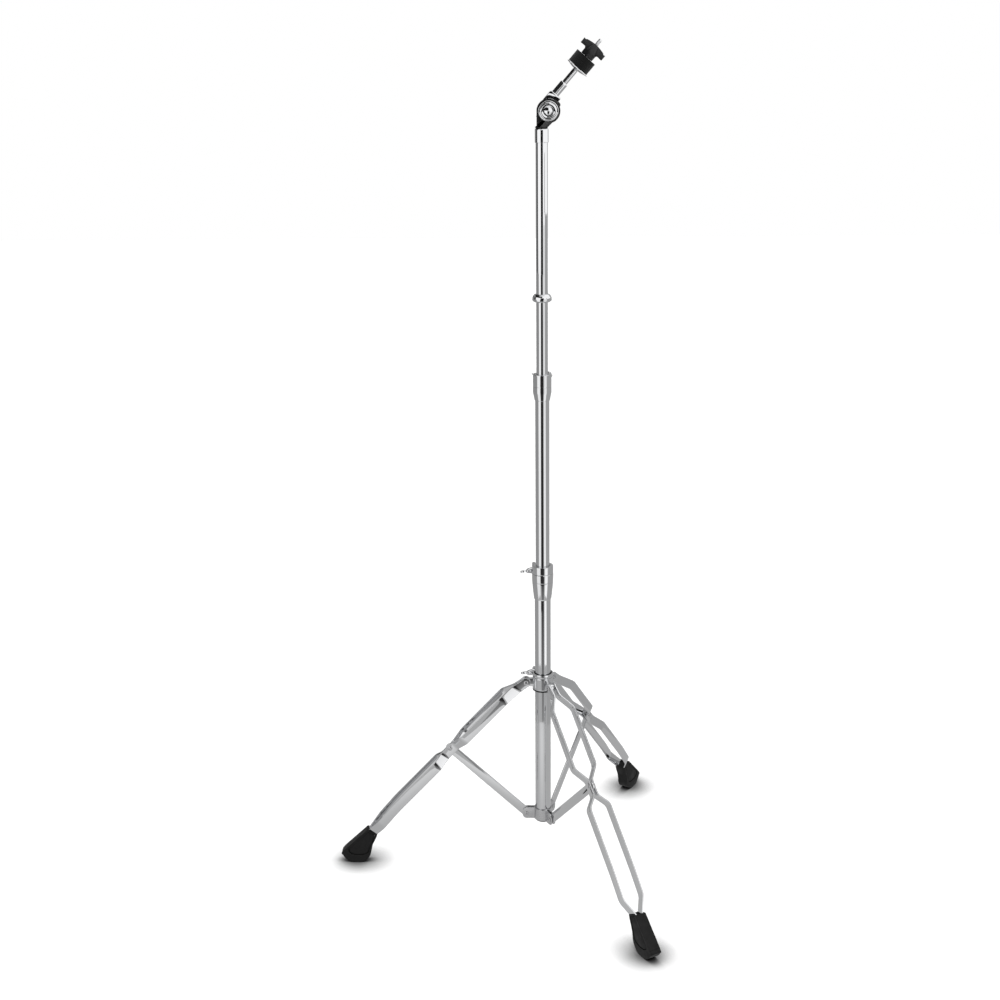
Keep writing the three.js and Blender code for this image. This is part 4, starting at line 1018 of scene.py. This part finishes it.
class STAND_OT_tilter(bpy.types.Operator):
    """Tilter body, its sleeve, chrome cap, domed bolt and the wing nut behind"""

    bl_idname = "stand.tilter"
    bl_label = "Tilter"

    def execute(self, context):
        tilter = context.scene.stand_tilter
        tubes = context.scene.stand_tubes
        here = Matrix.Translation(TILT_CENTRE)
        back = Matrix.Rotation(pi / 2, 4, "X")
        self.body(tilter, tubes.gap, here)
        face = -tilter.depth / 2 - tubes.gap
        front = here @ Matrix.Translation((0, face, 0)) @ back
        cap = in_mm((3.7, 0), (16.4, 0), (16.4, 0.9), (15.9, 1.5), (15, 1.6), (14.2, 1.35),
                    (13.4, 1.4), (12.7, 2.3), (11.6, 2.7), (10, 2.6), (9, 2.3), (3.7, 2.3))
        turned_piece("chrome_cap", cap, "top", "chrome", ["tilter_cap"], front, 0.15 * MM, 96)
        base = 2.9 * MM
        dome = [(0, -21.5 * MM), (3 * MM, -21.5 * MM), (3.5 * MM, -21 * MM), (3.5 * MM, base),
                (7.9 * MM, base), (8.3 * MM, base + 0.4 * MM), (8.2 * MM, base + 1.1 * MM)]
        crown, round_off = base + 3.6 * MM, 9.7 * MM
        dome += arc(0, crown - round_off, round_off, radians(48), radians(88), 9) + [(0, crown)]
        turned_piece("domed_bolt", dome, "top", "chrome", ["tilter_bolt"], front, 0, 48)
        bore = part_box("top_tube")[1][1] + tubes.gap
        collar = ring_profile(half_width("tilter_sleeve"), bore, *heights("tilter_sleeve"))
        turned_piece("tilter_collar", collar, "top", "chrome", ["tilter_sleeve"], at_height(0),
                     0.8 * MM, 96)
        self.wing_nut(tilter, tubes.gap, here)
        return {"FINISHED"}

    def body(self, tilter, gap, here):
        radius, depth, split = tilter.radius, tilter.depth / 2, tilter.split / 2
        rise = TILT_CENTRE.z - TOP_END
        across = TILT_CENTRE.x - LINE.x
        foot = 12.2 * MM - rise
        left = -min(tilter.foot_half + across, radius)
        right = tilter.foot_half - across
        slant_x, slant_z = 17.1 * MM - across, 21.1 * MM - rise
        turn = arc(0, 0, radius, atan2(slant_z, slant_x), pi - acos(min(1, -left / radius)), 40)
        outline = [(left, foot, 1 * MM), (right, foot, 1 * MM)] + turn
        raised = 0.9 * MM
        bm = slab(outline, -depth - raised, -split)
        front = [face for face in bm.faces if face.normal.y < -0.9]
        inset(bm, front, (1.3 * MM, 0), (0.35 * MM, -raised))
        soften(bm, 0.4 * MM, 40, 3)
        clear = radius + 0.5 * MM
        hollow = arc(0, 0, clear, atan2(-sqrt(clear ** 2 - right ** 2), right),
                     -pi + acos(min(1, -left / clear)), 18)
        neck = slab([(left, foot, 1 * MM), (right, foot, 1 * MM)] + hollow, -split - 1 * MM, depth)
        soften(neck, 0.9 * MM, 50, 3)
        adopt(bm, neck)
        stem_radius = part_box("top_tube")[1][1]
        plug_radius, plug_foot, tube_rim = stem_radius - 1.8 * MM, -rise - 9 * MM, gap - rise
        stem = spun([(0, plug_foot), (plug_radius, plug_foot), (plug_radius, tube_rim),
                     (stem_radius, tube_rim), (stem_radius, foot + 2.5 * MM),
                     (0, foot + 2.5 * MM)], 48)
        adopt(bm, stem, Matrix.Translation((-across, 0, 0)))
        tooth_ring(bm, tilter, -split, 1)
        piece("tilter_casting", bm, "top", "black_paint", ["tilter_body"], here)

    def wing_nut(self, tilter, gap, here):
        bm = spun(in_mm((0, 0), (7.5, 0), (8, 0.6), (7.6, 8), (6.4, 9.2), (0, 9.4)), 48)
        wings = slab(in_mm((-21.5, -6.5, 4), (21.5, -6.5, 4), (21.5, 6.5, 4), (-21.5, 6.5, 4)),
                     6 * MM, 11 * MM)
        soften(wings, 1.6 * MM, 50, 4)
        adopt(bm, wings, Matrix.Rotation(pi / 2, 4, "X") @ Matrix.Scale(-1, 4, (0, 1, 0)))
        place = (here @ Matrix.Translation((0, tilter.depth / 2 + gap, 0))
                 @ Matrix.Rotation(-pi / 2, 4, "X") @ Matrix.Rotation(radians(-38), 4, "Z"))
        piece("rear_wing_nut", bm, "tilter_wing_nut", "black_plastic", ["tilter_wing_nut"], place)


class STAND_OT_arm(bpy.types.Operator):
    """Tilter arm with the round boss that holds the rod"""

    bl_idname = "stand.arm"
    bl_label = "Tilter arm"

    def execute(self, context):
        tilter = context.scene.stand_tilter
        depth, split = tilter.depth / 2, tilter.split / 2
        reach = tilter.radius - 0.5 * MM
        clear = tilter.radius + 0.5 * MM
        left, right, top = -18 * MM, 2.6 * MM, 27 * MM
        low_turn = arc(0, 0, reach, acos(right / reach), -pi - (acos(-left / reach)), 36)
        rear = slab([(left, top, 4 * MM), (right, top, 1.5 * MM)] + low_turn, split, depth)
        soften(rear, 0.9 * MM, 50, 3)
        start, end = acos(right / clear), pi - acos(-left / clear)
        under = arc(0, 0, clear, start, end, 14)
        block = slab([(left, top, 4 * MM), (right, top, 1.5 * MM)] + under, -depth, split + 1 * MM)
        soften(block, 0.9 * MM, 50, 3)
        adopt(rear, block)
        radius, rim = 6.4 * MM, 49 * MM
        hole = tilter.rod_od / 2 + 0.15 * MM
        boss = spun([(hole, top - 4 * MM), (radius, top - 4 * MM), (radius, rim - 1.4 * MM),
                     (radius - 0.5 * MM, rim - 0.4 * MM), (radius - 1.4 * MM, rim),
                     (hole, rim)], 64)
        adopt(rear, boss, Matrix.Translation((ROD_OFFSET, 0, 0)))
        tooth_ring(rear, tilter, split, -1)
        here = Matrix.Translation(TILT_CENTRE) @ Matrix.Rotation(TILT, 4, "Y")
        piece("arm_casting", rear, "tilter_arm", "chrome", ["tilter_arm"], here)
        return {"FINISHED"}


class STAND_OT_seat(bpy.types.Operator):
    """Rod with its thread, cup washer, sleeve, two felts and the wing nut"""

    bl_idname = "stand.seat"
    bl_label = "Cymbal seat"

    def execute(self, context):
        tilter = context.scene.stand_tilter
        seat = (Matrix.Translation(TILT_CENTRE) @ Matrix.Rotation(TILT, 4, "Y")
                @ Matrix.Translation((ROD_OFFSET, 0, 0)))
        shoulder = 75.6 * MM
        self.rod(tilter, seat, shoulder)
        gap = context.scene.stand_tubes.gap
        bore, rim = tilter.stud_od / 2 + gap, tilter.washer_od / 2
        low = shoulder + gap
        washer = [(bore, low), (7.5 * MM, low), (12 * MM, low + 0.9 * MM),
                  (rim - 2 * MM, low + 2.3 * MM), (rim - 0.3 * MM, low + 2.6 * MM),
                  (rim, low + 3.1 * MM), (rim - 0.3 * MM, low + 3.7 * MM),
                  (rim - 1.4 * MM, low + 3.8 * MM), (12.5 * MM, low + 2.7 * MM),
                  (7.5 * MM, low + 2.4 * MM), (bore, low + 2.4 * MM)]
        turned_piece("seat_washer", washer, "tilter_arm", "chrome", ["cup_washer"], seat, 0, 96)
        foot = low + 2.6 * MM
        collar = foot + 1.6 * MM
        outer, collar_radius, top = bore + 1.6 * MM, 7.1 * MM, foot + 21 * MM
        sleeve = [(bore, foot), (collar_radius, foot), (collar_radius, collar), (outer, collar),
                  (outer, top), (bore, top)]
        turned_piece("seat_sleeve", sleeve, "tilter_arm", "black_plastic", ["cymbal_sleeve"], seat,
                     0.2 * MM, 48)
        start = collar + 0.05 * MM
        height = 10.4 * MM
        for name, node, base, seed in (("felt_pad_lower", "felt_lower", start, 3.0),
                                       ("felt_pad_upper", "felt_upper", start + height, 11.0)):
            self.felt(name, node, base, height, outer + 0.4 * MM, tilter, seat, seed)
        self.top_nut(seat, start + 2 * height + 0.3 * MM)
        return {"FINISHED"}

    def rod(self, tilter, seat, shoulder):
        thick, thin = tilter.rod_od / 2, tilter.stud_od / 2
        deep = 0.45 * MM
        start, end = 103 * MM, 136 * MM
        foot = 21 * MM
        bm = spun([(0, foot), (thick, foot), (thick, shoulder - 0.4 * MM),
                   (thick - 0.4 * MM, shoulder), (thin, shoulder), (thin, start),
                   (thin - deep, start + 0.4 * MM), (thin - deep, end - 1.2 * MM),
                   (thin - 1.2 * MM, end), (0, end)], 48)
        turns = int((end - start - 2 * tilter.pitch) / tilter.pitch)
        steps = 24
        thread = bmesh.new()
        base = start + 0.4 * MM
        sunk = thin - deep - 0.05 * MM
        ridge = [thread.verts.new((radius, 0, base + tilter.pitch * share))
                 for radius, share in ((sunk, 0), (thin, 0.42), (thin, 0.56), (sunk, 0.96))]
        edges = [thread.edges.new(pair) for pair in zip(ridge, ridge[1:] + ridge[:1])]
        bmesh.ops.spin(thread, geom=ridge + edges, axis=(0, 0, 1), cent=(0, 0, 0),
                       angle=tau * turns, steps=steps * turns,
                       dvec=(0, 0, tilter.pitch / steps), use_merge=False)
        close_holes(thread)
        adopt(bm, thread)
        piece("threaded_rod", bm, "tilter_arm", "chrome", ["cymbal_rod"], seat, radians(50))

    def felt(self, name, node, base, height, inner, tilter, seat, seed):
        outer = tilter.felt_od / 2 - 0.15 * MM
        top = base + height + 0.04 * MM
        low = base + 0.06 * MM
        wall = [(outer - 0.1 * MM, low + height * share) for share in (0.3, 0.45, 0.6)]
        flat = [inner + (outer - inner) * share for share in (0.25, 0.5, 0.75)]
        edge = 0.5 * MM
        profile = [(inner, low)] + [(r, low) for r in flat]
        profile += arc(outer - edge, low + edge, edge, -pi / 2, 0, 4)
        profile += wall + arc(outer - edge, top - edge, edge, 0, pi / 2, 4)
        profile += [(r, top) for r in reversed(flat)] + [(inner, top)]
        bm = spun(profile, 160)
        swell, swells, fluff, tufts = 0.14 * MM, 420, 0.08 * MM, 700
        for vert in bm.verts:
            way = Vector((vert.co.x, vert.co.y, 0))
            if way.length > inner + 1 * MM:
                lump = noise.noise(vert.co * swells + Vector((seed, seed, seed)))
                vert.co += way.normalized() * lump * swell
                vert.co.z += noise.noise(vert.co * tufts + Vector((0, seed, 0))) * fluff
        made = piece(name, bm, "tilter_arm", "black_felt", [node], seat)

    def top_nut(self, seat, foot):
        radius, root = 10.9 * MM, 9.5 * MM
        half, tip, crown = 21.65 * MM, 20 * MM, 23.4 * MM
        hole, bow = 3.4 * MM, 62 * MM
        bm = spun([(hole, 0), (radius - 0.8 * MM, 0), (radius, 0.8 * MM), (radius, root),
                   (radius * 0.8, root + 6 * MM), (6 * MM, crown - 1 * MM), (5 * MM, crown),
                   (hole, crown)], 64)
        right = [(radius, root - 4 * MM), (radius, root + 1.6 * MM, 3 * MM),
                 (half, root + 1.2 * MM, 0.8 * MM), (half, tip + 0.4 * MM, 0.8 * MM),
                 (half - 3 * MM, tip - 0.6 * MM, 1 * MM)]
        left = [(-x, *rest) for x, *rest in reversed(right)]
        crest = arc(0, crown - bow, bow, pi / 2 - 0.27, pi / 2 + 0.27, 12)
        wings = slab(left[-1:] + right + crest + left[:-1], -3.4 * MM, 3.4 * MM)
        soften(wings, 0.6 * MM, 50, 3)
        adopt(bm, wings)
        place = seat @ Matrix.Translation((0, 0, foot))
        piece("seat_wing_nut", bm, "top_wing_nut", "black_plastic", ["top_wing_nut"], place)


# Stage


def stage_mesh(name, bm, material, mirrored_only=False):
    """Links a stage object. Cards are seen by polished metal alone."""
    mesh = bpy.data.meshes.new(name)
    bm.to_mesh(mesh)
    bm.free()
    made = bpy.data.objects.new(name, mesh)
    bpy.context.scene.collection.objects.link(made)
    mesh.materials.append(material)
    if mirrored_only:
        for ray in ("camera", "diffuse", "shadow", "transmission", "volume_scatter"):
            setattr(made, f"visible_{ray}", False)
    return made


def bare_material(name):
    """A material with only its output node."""
    made = bpy.data.materials.new(name)
    made.use_nodes = True
    made.node_tree.nodes.clear()
    return made, made.node_tree, made.node_tree.nodes.new("ShaderNodeOutputMaterial")


def card_material(name, low, high, grey_low, grey_high):
    """A glowing card whose grey changes evenly with height."""
    made, tree, out = bare_material(name)
    glow = add_node(tree, "Emission")
    place = add_node(tree, "TexCoord")
    split = add_node(tree, "SeparateXYZ")
    ramp = add_node(tree, "MapRange", From_Min=low, From_Max=high, To_Min=grey_low,
                    To_Max=grey_high)
    wire(tree, (place, "Object", split, "Vector"), (split, "Z", ramp, "Value"),
               (ramp, "Result", glow, "Strength"), (glow, "Emission", out, "Surface"))
    return made


# The studio round the stand, as the chrome mirrors it. Each card bends round the tubes' line.
# Name, from and to in degrees right of the camera, foot and top in metres, grey at each, distance
CARDS = (
    ("wall_foot", -180, 180, 0.0, 0.3, 0.50, 0.50, 0.62),
    ("wall_middle", -180, 180, 0.3, 0.9, 0.50, 0.62, 0.62),
    ("wall_fade", -180, 180, 0.9, 1.1, 0.62, 1.20, 0.62),
    ("wall_top", -180, 180, 1.1, 2.6, 1.20, 1.20, 0.62),
    ("grey_flag_left", -180, -66, 0.0, 1.0, 0.40, 0.30, 0.61),
    ("edge_flag_left", -180, -106, 1.0, 1.4, 0.24, 0.24, 0.61),
    ("dark_flag_left", -106, -78, 1.0, 1.4, 0.08, 0.05, 0.61),
    ("white_panel_left", -62, -25, 0.15, 1.4, 1.0, 1.25, 0.59),
    ("black_flag_foot", -14, 16, 0.02, 0.28, 0.30, 0.06, 0.58),
    ("black_flag_camera", -22, 16, 0.28, 1.0, 0.03, 0.02, 0.58),
    ("black_flag_top", -18, 22, 1.0, 1.335, 0.01, 0.01, 0.58),
    ("white_slit_right", 26, 56, 0.15, 1.1, 1.25, 0.9, 0.59),
    ("grey_wall_right", 60, 180, 0.0, 1.12, 0.42, 0.42, 0.60),
    ("grey_line_right", 50, 62, 1.12, 1.24, 0.32, 0.5, 0.60),
    ("edge_flag_right", 124, 180, 1.12, 1.4, 0.45, 0.45, 0.60),
    ("black_ceiling_left", -168, 5, 1.42, 2.6, 0.02, 0.02, 0.60),
)


class STAND_OT_stage(bpy.types.Operator):
    """White floor and world, one broad lamp, the studio cards that metal mirrors, and the camera"""

    bl_idname = "stand.stage"
    bl_label = "Stage"

    def execute(self, context):
        stage = context.scene.stand_stage
        context.scene.view_settings.view_transform = "Standard"
        self.floor(stage)
        self.world(stage)
        for card in CARDS:
            self.card(*card)
        self.mirrored_floor(stage)
        self.lamp(stage)
        self.camera(stage)
        return {"FINISHED"}

    def floor(self, stage):
        bm = bmesh.new()
        bmesh.ops.create_grid(bm, x_segments=1, y_segments=1, size=stage.floor)
        material, tree, out = bare_material("white floor")
        # Painted shade: ambient occlusion darkens the floor's colour and its camera-only lift
        # towards the feet, on top of the lamp's own shadow.
        near = add_node(tree, "AmbientOcclusion", Distance=stage.contact)
        near.samples = 16
        shade, glow, white = [add_node(tree, "Math") for _ in range(3)]
        shade.operation = "POWER"
        shade.inputs[1].default_value = stage.contact_depth
        glow.operation = white.operation = "MULTIPLY"
        white.inputs[1].default_value = stage.floor_lift
        paper = add_node(tree, "BsdfDiffuse")
        lift = add_node(tree, "Emission")
        path = add_node(tree, "LightPath")
        total = add_node(tree, "AddShader")
        wire(tree, (near, "AO", shade, 0), (shade, "Value", paper, "Color"),
                   (shade, "Value", glow, 0), (path, "Is Camera Ray", glow, 1),
                   (glow, "Value", white, 0), (white, "Value", lift, "Strength"),
                   (paper, "BSDF", total, 0), (lift, "Emission", total, 1),
                   (total, "Shader", out, "Surface"))
        made = stage_mesh("floor", bm, material)
        made.visible_glossy = False

    def world(self, stage):
        world = bpy.data.worlds.new("white studio")
        bpy.context.scene.world = world
        world.use_nodes = True
        tree = world.node_tree
        tree.nodes.clear()
        out = tree.nodes.new("ShaderNodeOutputWorld")
        light, seen = [add_node(tree, "Background", Color=(1, 1, 1, 1), Strength=strength)
                       for strength in (stage.sky, 1)]
        path = add_node(tree, "LightPath")
        metal, glass = add_node(tree, "Math"), add_node(tree, "Math")
        metal.operation = glass.operation = "MAXIMUM"
        mix = add_node(tree, "MixShader")
        wire(tree, (path, "Is Camera Ray", metal, 0), (path, "Is Glossy Ray", metal, 1),
                   (metal, "Value", glass, 0), (path, "Is Transmission Ray", glass, 1),
                   (glass, "Value", mix, "Fac"), (light, "Background", mix, 1),
                   (seen, "Background", mix, 2), (mix, "Shader", out, "Surface"))

    def card(self, name, start, end, low, high, grey_low, grey_high, distance):
        bm = bmesh.new()
        turn = radians(start - 90)
        foot = bm.verts.new((distance * cos(turn), distance * sin(turn), low))
        top = bm.verts.new((distance * cos(turn), distance * sin(turn), high))
        edge = bm.edges.new((foot, top))
        bmesh.ops.spin(bm, geom=[foot, top, edge], axis=(0, 0, 1), cent=(0, 0, 0),
                       angle=radians(end - start), steps=max(6, int((end - start) / 5)),
                       use_merge=end - start >= 360)
        bmesh.ops.translate(bm, vec=LINE, verts=bm.verts)
        stage_mesh(name, bm, card_material(name, low, high, grey_low, grey_high), True)

    def mirrored_floor(self, stage):
        """The grey floor that the metal mirrors, lighter towards the camera."""
        bm = bmesh.new()
        bmesh.ops.create_circle(bm, cap_ends=True, segments=64, radius=2.5,
                                matrix=Matrix.Translation((0, 0, 0.2 * MM)))
        material, tree, out = bare_material("mirrored floor")
        glow = add_node(tree, "Emission")
        place = add_node(tree, "TexCoord")
        centre = add_node(tree, "Mapping", Location=(0.1, 0.6, 0))
        away = add_node(tree, "VectorMath")
        away.operation = "LENGTH"
        ramp = add_node(tree, "MapRange", From_Min=0.1, From_Max=0.6, To_Min=stage.mirrored_patch,
                        To_Max=stage.mirrored_floor)
        ramp.interpolation_type = "SMOOTHSTEP"
        wire(tree, (place, "Object", centre, "Vector"), (centre, "Vector", away, 0),
                   (away, "Value", ramp, "Value"), (ramp, "Result", glow, "Strength"),
                   (glow, "Emission", out, "Surface"))
        stage_mesh("mirrored_floor", bm, material, True)

    def lamp(self, stage):
        data = bpy.data.lights.new("broad overhead lamp", "SUN")
        data.energy = stage.lamp
        data.angle = stage.lamp_width
        made = bpy.data.objects.new("broad overhead lamp", data)
        made.rotation_euler = (0.12, -0.1, 0)
        made.visible_glossy = False
        bpy.context.scene.collection.objects.link(made)

    def camera(self, stage):
        data = bpy.data.cameras.new("camera")
        data.sensor_width = 36
        data.lens = stage.lens
        data.clip_start = 0.05
        made = bpy.data.objects.new("camera", data)
        bpy.context.scene.collection.objects.link(made)
        spot = LINE + Vector((stage.distance * sin(stage.bearing),
                              -stage.distance * cos(stage.bearing), stage.height))
        turn = (Matrix.Rotation(stage.yaw, 4, "Z") @ Matrix.Rotation(pi / 2 - stage.pitch, 4, "X")
                @ Matrix.Rotation(stage.roll, 4, "Z"))
        made.matrix_world = Matrix.Translation(spot) @ turn
        bpy.context.scene.camera = made


BUILD = (STAND_OT_stage, STAND_OT_tubes, STAND_OT_bracket, STAND_OT_legs, STAND_OT_feet,
         STAND_OT_hub, STAND_OT_lower_clamp, STAND_OT_upper_clamp, STAND_OT_tilter, STAND_OT_arm,
         STAND_OT_seat)


class STAND_PT_panel(bpy.types.Panel):
    """Sizes, finishes and the steps that build the stand"""

    bl_idname = "STAND_PT_panel"
    bl_label = "Cymbal stand"
    bl_space_type = "VIEW_3D"
    bl_region_type = "UI"
    bl_category = "Stand"

    def draw(self, context):
        for group_name, kind in GROUPS.items():
            box = self.layout.box()
            for name in kind.__annotations__:
                box.prop(getattr(context.scene, group_name), name)
        for step in BUILD:
            self.layout.operator(step.bl_idname)


def register():
    for group in GROUPS.values():
        bpy.utils.register_class(group)
    for name, group in GROUPS.items():
        setattr(bpy.types.Scene, name, PointerProperty(type=group))
    for made in (*BUILD, STAND_PT_panel):
        bpy.utils.register_class(made)


def unregister():
    for made in reversed((*BUILD, STAND_PT_panel)):
        bpy.utils.unregister_class(made)
    for name, group in GROUPS.items():
        delattr(bpy.types.Scene, name)
        bpy.utils.unregister_class(group)


def main():
    register()
    for step in BUILD:
        family, action = step.bl_idname.split(".")
        getattr(getattr(bpy.ops, family), action)()


if __name__ == "__main__":
    main()
